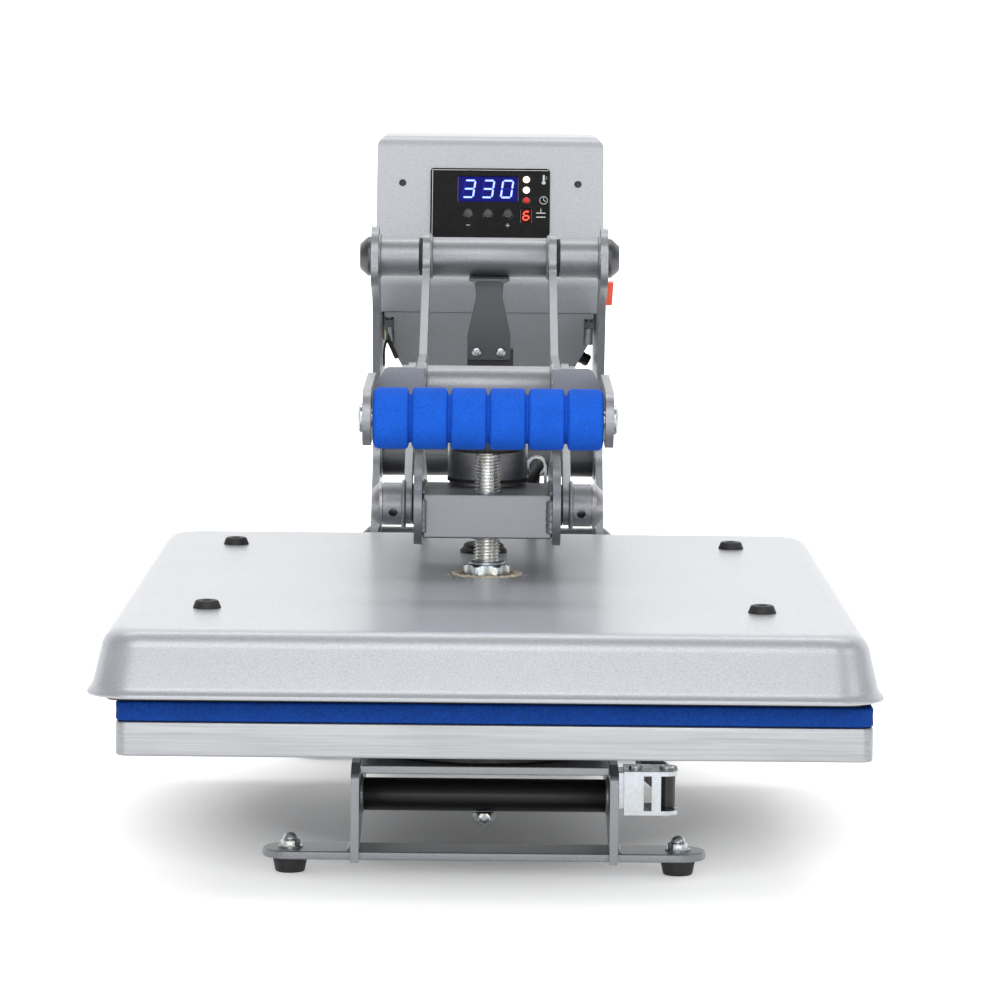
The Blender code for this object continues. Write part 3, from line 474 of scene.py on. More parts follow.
# ---------------- plates and castings from the CAD
# How far each one's edges are rounded.
PLAIN = {
    "side_plate_left": 0.0005, "side_plate_right": 0.0005, "platform_plate": 0.0007,
    "front_foot_bar": 0.0008, "rear_foot_bar": 0.0008, "lower_platen": 0.0012,
    "latch_body": 0.0005, "control_housing": 0.001, "lower_cover": 0.001,
    "power_inlet": 0.0005, "control_board": 0.0002, "display_panel": 0.0003,
    "display_window": 0.0002, "count_window": 0.0002, "platen_arm_left": 0.0006,
    "platen_arm_right": 0.0006, "pressure_crossbar": 0.0012, "cable_clip": 0.0003,
    "heat_plate": 0.0012, "insulation_blanket": 0.0015, "toggle_link_left": 0.0005,
    "toggle_link_right": 0.0005, "handle_arm_left": 0.0006, "handle_arm_right": 0.0006,
    "strike_plate": 0.0006, "sensor_bracket": 0.0004, "sensor_block": 0.0006,
    "power_rocker": 0.0006,
}
OWN_PAINT = {"control_housing": CASE_PAINT, "lower_cover": CASE_PAINT, "display_panel": PANEL}
for node, width in PLAIN.items():
    refined(node, width, OWN_PAINT.get(node))


# ---------------- turned pieces
def centre_of(node):
    low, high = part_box(node)
    return (low + high) / 2


def turned_for(node, profile, place, steps=64, material=None):
    """A turned piece that stands for the node."""
    return stand_in(lathe(node + "_turned", profile, place, steps), node, material)


def mirrored(profile):
    """The other end of a profile that is the same at both ends."""
    return [(radius, -height, *sides) for radius, height, *sides in reversed(profile)]


def bar_profile(radius, half, edge=0.0008):
    """A round bar along its axis, with rounded ends."""
    end = [(0, half), (radius - edge, half), (radius - 0.3 * edge, half - 0.3 * edge),
           (radius, half - edge)]
    return end + mirrored(end)


# Painted shade: the front cross tube gets a darker copy of its grey paint, standing in for the
# shadow under the platens.
SHADED_TUBE_PAINT = metallic_paint("tube_paint_painted_shade", (0.02, 0.021, 0.022), 0.5)
for node in ("front_cross_tube", "rear_cross_tube", "handle_brace_tube", "handle_hub_tube"):
    low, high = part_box(node)
    paint = SHADED_TUBE_PAINT if node == "front_cross_tube" else None
    turned_for(node, bar_profile((high.z - low.z) / 2, (high.x - low.x) / 2),
               along_x(centre_of(node).yz), material=paint)

for node in ("rubber_foot_front_left", "rubber_foot_front_right",
             "rubber_foot_rear_left", "rubber_foot_rear_right"):
    profile = [(0, 0.0089), (0.0096, 0.0089), (0.01, 0.0085), (0.0098, 0.007), (0.0086, 0.0012),
               (0.0083, 0.0003), (0.0079, 0), (0.0045, 0), (0.004, 0.0012), (0, 0.0012)]
    turned_for(node, profile, upright(centre_of(node)))

BOLT_PAINT = metallic_paint("bolt_paint", (0.085, 0.088, 0.095), 0.4)
CLEARANCE = 0.0003


def cap_profile(end, face, cone):
    """A bolt's conical cap, from its hollow end to the face it bears on."""
    return [(0, end - 0.0006), (0.0066, end - 0.0006), (0.007, end), (0.0078, end),
            (0.0084, end - 0.0003), (0.0123, end - cone), (0.0127, end - cone - 0.0007),
            (0.0127, face), (0.008, face)]


for node in ("main_pivot_shaft", "handle_pivot_shaft"):
    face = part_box("side_plate_right")[1].x + CLEARANCE
    cap = cap_profile(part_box(node)[1].x, face, 0.0047)
    turned_for(node, cap + mirrored(cap), along_x(centre_of(node).yz), material=BOLT_PAINT)

for node, side in (("link_bolt_left", -1), ("link_bolt_right", 1)):
    inner, end = sorted(abs(corner.x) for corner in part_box(node))
    turn = Matrix.Rotation(side * pi / 2, 4, "Y")
    turned_for(node, cap_profile(end, 0.0619, 0.0042) + [(0.008, inner), (0, inner)],
               Matrix.Translation((0, *centre_of(node).yz)) @ turn)

low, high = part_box("pedestal_disc")
reach = (high.x - low.x) / 2
turned_for("pedestal_disc", [
    (0, high.z), (reach - 0.002, high.z), (reach - 0.0006, high.z - 0.0006),
    (reach, high.z - 0.002), (reach, low.z + 0.0015), (reach - 0.0015, low.z), (0, low.z)],
    upright(centre_of("pedestal_disc")), 128)
keyway = box_piece("pedestal_keyway", (-0.0033, low.y - 0.0006, 0.0745),
                   (0.0033, low.y + 0.003, 0.0773), 0.0003)
finish_piece(keyway, "black_rubber", BODY["pedestal_disc"])

low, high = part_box("hold_magnet")
magnet = upright(centre_of("hold_magnet"))
reach = (high.x - low.x) / 2
turned_for("hold_magnet", [
    (0, high.z - 0.0005), (0.007, high.z - 0.0005), (0.0072, high.z - 0.0001),
    (0.014, high.z - 0.0001), (0.0142, high.z - 0.0006), (0.015, high.z - 0.0006),
    (0.0152, high.z), (reach - 0.001, high.z), (reach - 0.0003, high.z - 0.0003),
    (reach, high.z - 0.001), (reach, 0.2118), (reach - 0.0004, 0.2114), (0.023, 0.2112),
    (0.023, low.z), (0, low.z)], magnet, 96)
band = lathe("magnet_band", [(0.0243, 0.2125), (0.0243, 0.2105), (0.0228, 0.2105),
                             (0.0228, 0.2125)], magnet, 96)
finish_piece(band, "black_rubber", BODY["hold_magnet"])

low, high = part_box("cover_grommet")
turned_for("cover_grommet", [
    (0.0042, high.z - 0.0008), (0.005, high.z), (0.0105, high.z - 0.0004),
    (0.0122, high.z - 0.0014), (0.0128, low.z + 0.0024), (0.014, low.z + 0.0018),
    (0.0145, low.z + 0.0008), (0.0145, low.z), (0.0042, low.z)], upright(centre_of("cover_grommet")))

lean = Matrix.Translation((0.0617, 0.285, 0.2625)) @ Matrix.Rotation(radians(118), 4, "Y")
turned_for("cable_gland", [
    (0, 0.0071), (0.0016, 0.0071), (0.0018, 0.0075), (0.003, 0.0075), (0.0036, 0.007),
    (0.0042, 0.0062), (0.0042, 0.0036), (0.0038, 0.0033), (0.0038, 0.0028), (0.0042, 0.0025),
    (0.0042, 0.0003), (0, 0.0003)], lean)

turned_for("locating_stud", [
    (0, 0.0312), (0.005, 0.0312), (0.0058, 0.0308), (0.0066, 0.0298, 6), (0.0066, 0.0268, 6),
    (0.0056, 0.026), (0.0008, 0.0212), (0, 0.0211)], upright(centre_of("locating_stud")), 72)


# ---------------- heated head
def cover_piece():
    """The drawn cover: rolled lip, drafted wall, round shoulder, flat crown with the opening."""
    low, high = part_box("heat_cover")
    middle = (low + high) / 2
    half_x, half_y = (high.x - low.x) / 2, (high.y - low.y) / 2
    hub = centre_of("pressure_spindle").xy
    # How far in from the lip, and how high, going up the wall and over the shoulder.
    sections = [(0.0016, low.z + 0.0002), (0.0005, low.z), (0, low.z + 0.0006), (0, low.z + 0.0014),
                (0.0005, low.z + 0.0022), (0.0014, low.z + 0.003), (0.0026, low.z + 0.0046),
                (0.0031, low.z + 0.006)]
    top_in, fillet = 0.0075, 0.012
    for k in range(11):
        a = radians(6 + 84 * k / 10)
        sections.append((top_in + fillet * (1 - cos(a)), high.z - fillet * (1 - sin(a))))
    for share in (0.25, 0.6, 1.0):
        sections.append((top_in + fillet + 0.022 * share, high.z))
    outer = []
    for inset, height in sections:
        outline = rounded_rectangle(half_x - inset, half_y - inset, middle.xy,
                                    max(0.027 - 0.7 * inset, 0.012), 14, 14)
        outer.append([Vector((p.x, p.y, height)) for p in outline])
    for radius, height in ((0.026, high.z), (0.0222, high.z), (0.0214, high.z - 0.0003),
                           (0.021, high.z - 0.0009)):
        outer.append([Vector((*(hub + (p.xy - hub).normalized() * radius), height))
                      for p in outer[14]])
    piece = loft("heat_cover_fine", outer, 45)
    wall = piece.modifiers.new("wall", "SOLIDIFY")
    wall.thickness, wall.offset = 0.0012, -1
    return applied(piece)


stand_in(cover_piece(), "heat_cover", COVER_PAINT)

cover_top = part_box("heat_cover")[1].z
BUMPERS = ((-0.1553, -0.288), (0.1534, -0.288), (-0.1571, 0.036), (0.153, 0.036))
for i, (x, y) in enumerate(BUMPERS):
    place = Matrix.Translation((x, y, cover_top))
    bumper = lathe(f"cover_bumper_{i + 1}", [
        (0.0022, 0.003), (0.0028, 0.0043), (0.0052, 0.0045), (0.0063, 0.0041), (0.0068, 0.0032),
        (0.00785, 0.0004), (0.00785, -0.0003), (0.0022, -0.0003)], place, 40)
    finish_piece(bumper, "black_rubber", "heat_head")
    screw = lathe(f"bumper_screw_{i + 1}", [(0, 0.0032), (0.0012, 0.0031), (0.0021, 0.0024),
                                            (0.0021, 0), (0, 0)], place, 24)
    finish_piece(screw, "zinc", "heat_head")


def element_piece():
    """The tubular element, with round bends, lying on the heat plate."""
    low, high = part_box("heating_element")
    radius = (high.z - low.z) / 2
    height, rows = (low.z + high.z) / 2, 11
    pitch = (high.y - low.y - 2 * radius) / (rows - 1)
    path = []
    for i in range(rows):
        y = low.y + radius + i * pitch
        side = 1 if i % 2 == 0 else -1
        reach = high.x - radius - pitch / 2
        path += [(-side * reach, y, height), (side * reach, y, height)]
        if i < rows - 1:
            path += [(side * (reach + pitch / 2 * sin(a)), y + pitch / 2 * (1 - cos(a)), height)
                     for a in (pi * k / 8 for k in range(1, 8))]
    return sweep("heating_element_bent", path, radius, 12)


stand_in(element_piece(), "heating_element")


def tuft_piece():
    """Ragged fibre wool standing a little out of the spindle's opening."""
    hub = centre_of("pressure_spindle")
    rng = Random(5)
    inside = 0.1535
    rings = []
    for radius, height in ((0.0212, inside), (0.0208, cover_top - 0.0008),
                           (0.0212, cover_top + 0.0006), (0.019, cover_top + 0.001),
                           (0.0172, cover_top - 0.0004), (0.016, inside)):
        ring = []
        for a in around(90):
            wave = noise.noise(Vector((cos(a) * 5, sin(a) * 5, radius * 900)))
            r = radius + 0.0007 * wave + rng.uniform(-0.0002, 0.0002)
            if height > inside:
                height_here = height + 0.0009 * noise.noise(Vector((cos(a) * 9, sin(a) * 9, 3)))
            else:
                height_here = height
            ring.append((hub.x + r * cos(a), hub.y + r * sin(a), height_here))
        rings.append(ring)
    return loft("insulation_tuft", rings, 80, closed=True)


finish_piece(tuft_piece(), "insulation", BODY["insulation_blanket"])


# ---------------- pressure screw
def spindle_piece():
    """The threaded rod with its hexagon nut and collar: the thread is a true M16 x 2 helix."""
    low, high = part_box("pressure_spindle")
    place = upright(centre_of("pressure_spindle"))
    pitch, crest, depth, steps, chamfer = 0.002, 0.0079, 0.0013, 48, 0.0012
    start, end = 0.1668, high.z
    rings = [[place @ Vector((0, 0, start))]]
    rows = int(ceil((end - start) / (pitch / 10)))
    for k in range(rows + 1):
        z = start + (end - start) * k / rows
        ring = []
        for i, a in enumerate(around(steps)):
            flank = abs(2 * ((z / pitch - i / steps) % 1) - 1)
            cut = depth * min(max((flank - 0.12) / 0.7, 0), 1)
            r = (crest - cut) * (0.9 + 0.1 * min(1, (end - z) / chamfer))
            ring.append(place @ Vector((r * cos(a), r * sin(a), z)))
        rings.append(ring)
    rod = loft("spindle_thread", rings + [[place @ Vector((0, 0, end))]], 75)
    nut = lathe("spindle_nut", [
        (0, 0.1674), (0.01, 0.1674), (0.0108, 0.1668), (0.0108, 0.1657), (0.0114, 0.1655),
        (0.0121, 0.1652), (0.01386, 0.1642, 6), (0.01386, 0.1536, 6), (0.0121, 0.1525),
        (0.0078, 0.1525), (0.0078, low.z + 0.0008), (0.007, low.z), (0, low.z)], place, 96)
    stand_in(nut, "pressure_spindle")
    finish_piece(rod, "zinc", BODY["pressure_spindle"], THREAD)


def thread_metal():
    made = Surface("thread_zinc", (0.86, 0.86, 0.84), 1.0, 0.27)
    made.tint(made.noise(60, 2), (0.78, 0.76, 0.68), 0.5, 0.7).shade(made.noise(300), 0.04)
    made.rough(made.noise(160), 0.05)
    return made.done()


THREAD = thread_metal()
spindle_piece()


def knob_piece():
    """The knob above the crossbar, with grip flutes round its rim."""
    low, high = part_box("pressure_knob")
    hub = centre_of("pressure_knob")
    radius = (high.x - low.x) / 2
    flutes = 24
    # Radius, height, and how much of the flutes' depth is cut there.
    profile = [(0.006, high.z - 0.001, 0), (0.0068, high.z - 0.0002, 0),
               (radius - 0.0052, high.z - 0.0002, 0),
               (radius - 0.004, high.z, 0), (radius - 0.002, high.z - 0.0002, 0.3),
               (radius - 0.0006, high.z - 0.0009, 0.8), (radius, high.z - 0.0022, 1),
               (radius, low.z + 0.0022, 1), (radius - 0.0006, low.z + 0.0008, 0.8),
               (radius - 0.002, low.z, 0.2), (0.0079, low.z, 0), (0.0079, high.z - 0.004, 0)]
    rings = []
    for r, z, depth in profile:
        ring = []
        for a in around(240):
            dip = 0.0007 * depth * (0.5 - 0.5 * cos(a * flutes)) ** 2
            ring.append((hub.x + (r - dip) * cos(a), hub.y + (r - dip) * sin(a), z))
        rings.append(ring)
    return loft("pressure_knob_fluted", rings, 50, closed=True)


stand_in(knob_piece(), "pressure_knob")


# ---------------- grip
def grip_piece():
    """Six foam segments with rounded shoulders, on one sleeve."""
    low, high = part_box("foam_grip")
    radius, half = (high.z - low.z) / 2, (high.x - low.x) / 2
    segments, groove, bore = 6, 0.0016, 0.0056
    outer_edge, groove_edge = (0.0038, 0.0038), (0.002, 0.0036)
    span = (2 * half - groove * (segments - 1)) / segments
    outline = []
    for i in range(segments):
        start = i * (span + groove) - half
        left = outer_edge if i == 0 else groove_edge
        right = outer_edge if i == segments - 1 else groove_edge
        quarter = [radians(90 * k / 6) for k in range(7)]
        outline += [(start + left[0] * (1 - cos(a)), radius - left[1] * (1 - sin(a)))
                    for a in quarter]
        outline += [(start + left[0] + (span - left[0] - right[0]) * k / 8, radius)
                    for k in range(1, 8)]
        outline += [(start + span - right[0] * (1 - cos(a)), radius - right[1] * (1 - sin(a)))
                    for a in reversed(quarter)]
    profile = [(bore, half)] + [(r, x) for x, r in reversed(outline)] + [(bore, -half)]
    return lathe("foam_grip_segments", profile, along_x(centre_of("foam_grip").yz), 72)


foam = stand_in(grip_piece(), "foam_grip")

grip_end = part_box("grip_bolt")[1].x
ear_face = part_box("handle_arm_right")[1].x + CLEARANCE
bolt = [(0, grip_end - 0.0022), (0.0028, grip_end - 0.0022, 6), (0.003, grip_end - 0.0003, 6),
        (0.0062, grip_end), (0.0074, grip_end - 0.0004), (0.00825, grip_end - 0.0012),
        (0.00825, ear_face), (0.005, ear_face)]
turned_for("grip_bolt", bolt + mirrored(bolt), along_x(centre_of("foam_grip").yz), 72)


# ---------------- lower pad
def pad_piece():
    """The silicone sponge pad: soft edges and a slightly uneven face."""
    low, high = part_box("silicone_pad")
    middle = (low + high) / 2
    half_x, half_y = (high.x - low.x) / 2, (high.y - low.y) / 2
    rings = []
    for inset, z in ((0.0012, low.z), (0.0003, low.z + 0.0004), (0, low.z + 0.0014),
                     (0.0002, (low.z + high.z) / 2), (0, high.z - 0.0016),
                     (0.0004, high.z - 0.0006), (0.0016, high.z), (0.012, high.z)):
        outline = rounded_rectangle(half_x - inset, half_y - inset, middle.xy, 0.006, 8, 90)
        ring = []
        for p in outline:
            bulge = 0.00018 * noise.noise(Vector((p.x * 120, p.y * 120, z * 300)))
            away = (p - middle.xy).normalized() * min(bulge, 0)
            ring.append((p.x + away.x, p.y + away.y, z))
        rings.append(ring)
    return loft("silicone_pad_soft", rings, 60, flat_ends=True)


pad = stand_in(pad_piece(), "silicone_pad")


# ---------------- control box face
TILT = radians(20)
PANEL_TOP = (0.2602, 0.3894)
# How far digits and printed marks start in front of the face, and how thick print is.
DIGITS, MARKS, INK = 0.00122, 0.00152, 0.00005


def face_place(across, drop, proud=0.0):
    """Frame on the tilted face: across to the right, drop below the panel's top, Z out of it."""
    up, out = Vector((0, sin(TILT), cos(TILT))), Vector((0, -cos(TILT), sin(TILT)))
    spot = Vector((across, *PANEL_TOP)) - up * drop + out * proud
    turn = Matrix((Vector((1, 0, 0)), up, out)).transposed().to_4x4()
    return Matrix.Translation(spot) @ turn


def face_shapes(name, shapes, proud, thickness, slot, material):
    """Flat pieces on the face, from outlines of (across, drop), as one thin piece."""
    work = bmesh.new()
    place = face_place(0, 0, proud)
    for outline in shapes:
        low, high = [[work.verts.new(place @ Vector((u, -v, z))) for u, v in outline]
                     for z in (0, thickness)]
        skin(work, low, high)
        work.faces.new(low)
        work.faces.new(high)
    return finish_piece(new_object(name, work), slot, "frame", material)


def stroke(width, *points):
    """A line of quads of the given width along the points."""
    quads = []
    for a, b in zip(points, points[1:]):
        run = Vector(b) - Vector(a)
        side = Vector((-run.y, run.x)).normalized() * width / 2
        tip = run.normalized() * width * 0.45
        quads.append([tuple(Vector(a) - tip + side), tuple(Vector(b) + tip + side),
                      tuple(Vector(b) + tip - side), tuple(Vector(a) - tip - side)])
    return quads


SEGMENTS = {"3": "abcdg", "0": "abcdef", "6": "acdefg"}


def digit(symbol, centre, width, height, bar):
    """Outlines of a seven-segment digit's lit and unlit bars."""
    w, h, gap, slant = width / 2, height / 2, bar * 0.24, 0.14
    ends = {"a": ((-w, -h), (w, -h)), "b": ((w, -h), (w, 0)), "c": ((w, 0), (w, h)),
            "d": ((-w, h), (w, h)), "e": ((-w, 0), (-w, h)), "f": ((-w, -h), (-w, 0)),
            "g": ((-w, 0), (w, 0))}
    lit, unlit = [], []
    for key, (a, b) in ends.items():
        a, b = Vector(a), Vector(b)
        run = (b - a).normalized()
        side = Vector((-run.y, run.x)) * bar / 2
        a, b = a + run * gap, b - run * gap
        tip = run * bar / 2
        shape = [a, a + tip + side, b - tip + side, b, b - tip - side, a + tip - side]
        placed = [(centre[0] + p.x - p.y * slant, centre[1] + p.y) for p in shape]
        (lit if key in SEGMENTS[symbol] else unlit).append(placed)
    return lit, unlit


lit, unlit = [], []
for i, symbol in enumerate("330"):
    on, off = digit(symbol, (-0.00145 + (i - 1) * 0.0127, 0.01445), 0.0068, 0.0118, 0.0012)
    lit, unlit = lit + on, unlit + off
face_shapes("temperature_digits", lit, DIGITS, 0.00012, "blue_display", LIT_BLUE)
face_shapes("temperature_segments_off", unlit, DIGITS, 0.00008, "blue_display", DIM_BLUE)
face_shapes("count_digit", digit("6", (0.0242, 0.033), 0.0036, 0.0058, 0.001)[0], DIGITS,
            0.00012, "red_display", LIT_RED)

for i, (drop, material) in enumerate(((0.0074, LAMP_ON), (0.0148, LAMP_ON), (0.0221, LAMP_OFF))):
    lamp = lathe(f"lamp_{i + 1}", [(0, 0.0021), (0.0009, 0.002), (0.0016, 0.0015),
                                   (0.002, 0.0008), (0.0021, 0.0003), (0.0021, -0.0004),
                                   (0, -0.0004)],
                 face_place(0.0242, drop, 0.0004), 32)
    finish_piece(lamp, "red_plastic", "frame", material)

side, bottom, margin = 0.0387, 0.0547, 0.0013
border = stroke(0.00035, (-side, bottom), (-side, margin), (side, margin))
face_shapes("panel_border", border, MARKS, INK, "black_plastic", PRINT)
thermometer = ([arc_points((0.0358, 0.0098), 0.0013)]
               + stroke(0.0012, (0.0358, 0.009), (0.0358, 0.005))
               + stroke(0.0003, (0.0372, 0.0058), (0.038, 0.0058))
               + stroke(0.0003, (0.0372, 0.0072), (0.038, 0.0072)))
clock = (stroke(0.0005, *arc_points((0.0358, 0.0222), 0.0026))
         + stroke(0.0004, (0.0358, 0.0204), (0.0358, 0.0222), (0.0371, 0.0229)))
press_mark = (stroke(0.0007, (0.0312, 0.0312), (0.0368, 0.0312))
              + stroke(0.0007, (0.0312, 0.034), (0.0368, 0.034))
              + stroke(0.0005, (0.034, 0.0284), (0.034, 0.0306)))
minus_and_plus = (stroke(0.0005, (-0.0157, 0.04), (-0.0135, 0.04))
                  + stroke(0.0005, (0.0108, 0.04), (0.013, 0.04))
                  + stroke(0.0005, (0.0119, 0.0389), (0.0119, 0.0411)))
face_shapes("panel_print_marks", thermometer + clock + press_mark + minus_and_plus, MARKS, INK,
            "black_plastic", PRINT)

for node, across in (("button_minus", -0.0146), ("button_mode", -0.0013), ("button_plus", 0.0119)):
    turned_for(node, [(0, 0.0029), (0.0014, 0.00292), (0.0024, 0.0031), (0.0029, 0.003),
                      (0.0033, 0.0026), (0.0034, 0.0022), (0.0034, 0.0014), (0, 0.0014)],
               face_place(across, 0.0322), 48)


# ---------------- small fasteners
def cross_head(name, place, radius, height, slot, body, recess=True):
    """A pan-head screw with a cross recess, its base at the place and Z out."""
    rows = [(0, height), (radius * 0.45, height * 0.97), (radius * 0.78, height * 0.8),
            (radius * 0.95, height * 0.45), (radius, 0.0002), (radius, 0), (0, 0)]
    head = lathe(name, rows, place, 40)
    if recess:
        arm, half = radius * 0.62, radius * 0.11
        cutters = []
        for turn in (0, pi / 2):
            cutter = box_piece(name + "_cut", (-arm, -half, height * 0.45),
                               (arm, half, height * 1.4),
                               place=place @ Matrix.Rotation(turn, 4, "Z"))
            step = head.modifiers.new("cut", "BOOLEAN")
            step.operation, step.solver, step.object = "DIFFERENCE", "EXACT", cutter
            cutters.append(cutter)
        applied(head)
        for cutter in cutters:
            bpy.data.objects.remove(cutter)
        head.data.shade_smooth()
        head.data.set_sharp_from_angle(angle=radians(35))
    return finish_piece(head, slot, body)


def acorn_nut(name, spot, body):
    """A domed nut of 10 mm across flats with a flange washer."""
    dome = [radians(15 * k) for k in range(1, 7)]
    rows = [(0, 0.0085)] + [(0.0041 * sin(a), 0.0048 + 0.0037 * cos(a)) for a in dome]
    rows += [(0.0047, 0.0046), (0.00577, 0.004, 6), (0.00577, 0.001, 6), (0.0072, 0.0009),
             (0.0072, 0), (0, 0)]
    return finish_piece(lathe(name, rows, Matrix.Translation(spot), 72), "zinc", body)


FOOT_BARS = (("front", -0.224), ("rear", 0.2))
bar_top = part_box("front_foot_bar")[1].z
for row, y in FOOT_BARS:
    for side, x in (("left", -0.11115), ("right", 0.11115)):
        acorn_nut(f"foot_nut_{row}_{side}", (x, y, bar_top), "frame")

SIDES = (("left", -1), ("right", 1))
for side, sign in SIDES:
    cross_head("case_screw_" + side, face_place(sign * 0.0588, 0.0102), 0.0024, 0.0013,
               "black_plastic", "frame")
for side, sign in SIDES:
    x = sign * 0.0672
    place = Matrix.Translation((x, 0.255, 0.2899)) @ Matrix.Rotation(pi, 4, "X")
    cross_head("notch_screw_" + side, place, 0.003, 0.0024, "zinc", "frame")
    boss = lathe("notch_boss_" + side, [(0, 0.283), (0.0023, 0.283), (0.0026, 0.2825),
                                        (0.0026, 0.2722), (0, 0.2722)], upright((x, 0.255)), 32)
    finish_piece(boss, "silver_paint", "frame", CASE_PAINT)
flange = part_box("sensor_bracket")[1].z - 0.002
for side, sign in SIDES:
    x = sign * 0.0078
    cross_head("sensor_screw_" + side, towards((x, 0.129, 0.275), (0, -1, 0)), 0.0034, 0.0024,
               "zinc", "handle")
    cross_head("flange_screw_" + side, towards((x * 1.3, 0.1255, flange), (0, 0, -1)), 0.0022,
               0.0014, "zinc", "handle")
for i, (y, z) in enumerate(((0.292, 0.258), (0.318, 0.258), (0.318, 0.282), (0.292, 0.282))):
    for side, sign in SIDES:
        cross_head(f"tongue_screw_{side}_{i + 1}", towards((sign * 0.0762, y, z), (sign, 0, 0)),
                   0.0035, 0.0022, "zinc", "frame", recess=False)


def washer(name, centre, low, high, body):
    """A washer on a pivot, between two places along X."""
    bore, rim, edge = 0.0084, 0.0122, 0.0003
    ring = lathe(name, [(bore, high), (rim - edge, high), (rim, high - edge), (rim, low + edge),
                        (rim - edge, low), (bore, low)], along_x(centre), 56)
    return finish_piece(ring, "black_rubber", body)


HANDLE_AXIS = tuple(JOINT["handle_pivot"]["pos_m"][1:])
MAIN_AXIS = tuple(JOINT["main_hinge"]["pos_m"][1:])
LINK_AXIS = tuple(JOINT["link_pivot"]["pos_m"][1:])
for side, sign in SIDES:
    for label, centre, low, high, body in (("handle", HANDLE_AXIS, 0.0433, 0.0452, "frame"),
                                           ("link", LINK_AXIS, 0.0435, 0.0445, "platen_arms")):
        low, high = sorted((sign * low, sign * high))
        washer(f"{label}_washer_{side}", centre, low, high, body)


def weld_bead(name, path, body, radius, seed):
    """A rippled fillet bead along a path."""
    fine = smooth_route(path, max(4, int((Vector(path[0]) - Vector(path[1])).length / 0.0008)))
    rng = Random(seed)
    phase = rng.uniform(0, 6)

    def reach(share):
        ripple = 0.86 + 0.14 * abs(sin(share * len(fine) * 0.55 + phase))
        end = min(1, share / 0.03 + 0.45, (1 - share) / 0.03 + 0.45)
        return radius * ripple * end

    return finish_piece(sweep(name, fine, reach, 10), "silver_paint", body)


def ring_path(centre, x, reach=0.0131, start=0, end=360):
    """A weld's path round a tube along X, by default round a 1 in pivot tube."""
    return [(x, *point) for point in arc_points(centre, reach, start, end, 28)]


for side, sign in SIDES:
    arm, wall, foot = sign * 0.0379, sign * 0.0711, sign * 0.0765
    welds = [
        ("hub", ring_path(HANDLE_AXIS, arm), "handle", 0.0014, 3),
        ("brace", ring_path((-0.097, 0.2694), arm, start=40, end=320), "handle", 0.0014, 4),
        ("crossbar_top", [(arm, -0.124, 0.2082), (arm, -0.09, 0.2083), (arm, -0.054, 0.2082)],
         "platen_arms", 0.002, 5),
        ("crossbar_front", [(arm, -0.1283, 0.185), (arm, -0.1284, 0.195), (arm, -0.1283, 0.205)],
         "platen_arms", 0.0034 if side == "right" else 0.0022, 6),
        ("platform", [(wall, -0.23, 0.0578), (wall, -0.06, 0.0578), (wall, 0.09, 0.0578)],
         "frame", 0.0017, 7),
        ("front_tube", ring_path((-0.2, 0.041), wall, 0.0098), "frame", 0.0014, 8),
        ("rear_tube", ring_path((0.22, 0.199), wall), "frame", 0.0015, 9),
        ("main_collar", ring_path(MAIN_AXIS, wall), "frame", 0.0015, 10),
        ("handle_collar", ring_path(HANDLE_AXIS, wall), "frame", 0.0015, 11),
        ("link_collar", ring_path(LINK_AXIS, sign * 0.0494), "toggle_links", 0.0014, 12)]
    welds += [("foot_" + row, [(foot, y + along, 0.0143) for along in (-0.013, 0, 0.013)],
               "frame", 0.0017, 13) for row, y in FOOT_BARS]
    for label, path, body, radius, seed in welds:
        weld_bead(f"weld_{label}_{side}", path, body, radius, seed)


# ---------------- latch lever, wires
def lever_piece():
    """The latch's black lever: a barrel on its pin with a ribbed finger pad behind."""
    low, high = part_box("latch_lever")
    x, y = JOINT["latch_pivot"]["pos_m"][:2]
    barrel = lathe("lever_barrel", [(0.0031, high.z), (0.0046, high.z), (0.005, high.z - 0.0004),
                                    (0.005, low.z + 0.0004), (0.0046, low.z), (0.0031, low.z)],
                   upright((x, y)))
    finish_piece(barrel, "black_plastic", BODY["latch_lever"])
    outline = [(0.004, 0.0042), (0.0048, 0.018), (0.0055, 0.032), (0.0042, 0.058),
               (-0.002, 0.086), (-0.005, 0.0895), (-0.013, 0.0895), (-0.015, 0.086),
               (-0.0102, 0.058), (-0.0062, 0.032), (-0.0048, 0.018), (-0.004, 0.0042)]
    lower, upper = 0.044, 0.055
    middle, far = -0.003, 0.08
    rings = [[(x + u - inset * (1 if u > middle else -1), y + v - inset * (1 if v > far else 0), z)
              for u, v in outline]
             for inset, z in ((0.0006, lower), (0, lower + 0.0006),
                              (0, upper - 0.0006), (0.0006, upper))]
    stand_in(loft("latch_lever_fine", rings, flat_ends=True), "latch_lever")
    for i in range(7):
        v = 0.06 + i * 0.004
        rib = box_piece(f"lever_rib_{i + 1}", (x - 0.0125 - i * 0.0002, y + v, upper - 0.0002),
                        (x + 0.002 - i * 0.0008, y + v + 0.0016, upper + 0.0007), 0.0003)
        finish_piece(rib, "black_plastic", BODY["latch_lever"])


lever_piece()

# The lead is two lengths that meet on the arms, since one piece can cross only one joint.
LEAD = 0.003
FRAME_ROUTE = [(0.03, 0.3, 0.2205), (0.03, 0.2985, 0.212), (0.03, 0.29, 0.2),
               (0.03, 0.268, 0.187), (0.03, 0.252, 0.172), (0.03, 0.2385, 0.164),
               (0.03, 0.195, 0.171), (0.03, 0.12, 0.181), (0.03, 0.045, 0.203),
               (0.03, 0.005, 0.215), (0.03, -0.013, 0.2159), (0.03, -0.018, 0.2159)]
HEAD_ROUTE = [(0.03, -0.018, 0.2159), (0.03, -0.03, 0.2159), (0.027, -0.041, 0.209),
              (0.02, -0.038, 0.195), (0.008, -0.015, 0.184), (-0.001, 0.003, 0.178),
              (-0.002, 0.005, 0.1725), (-0.002, 0.005, 0.1585)]


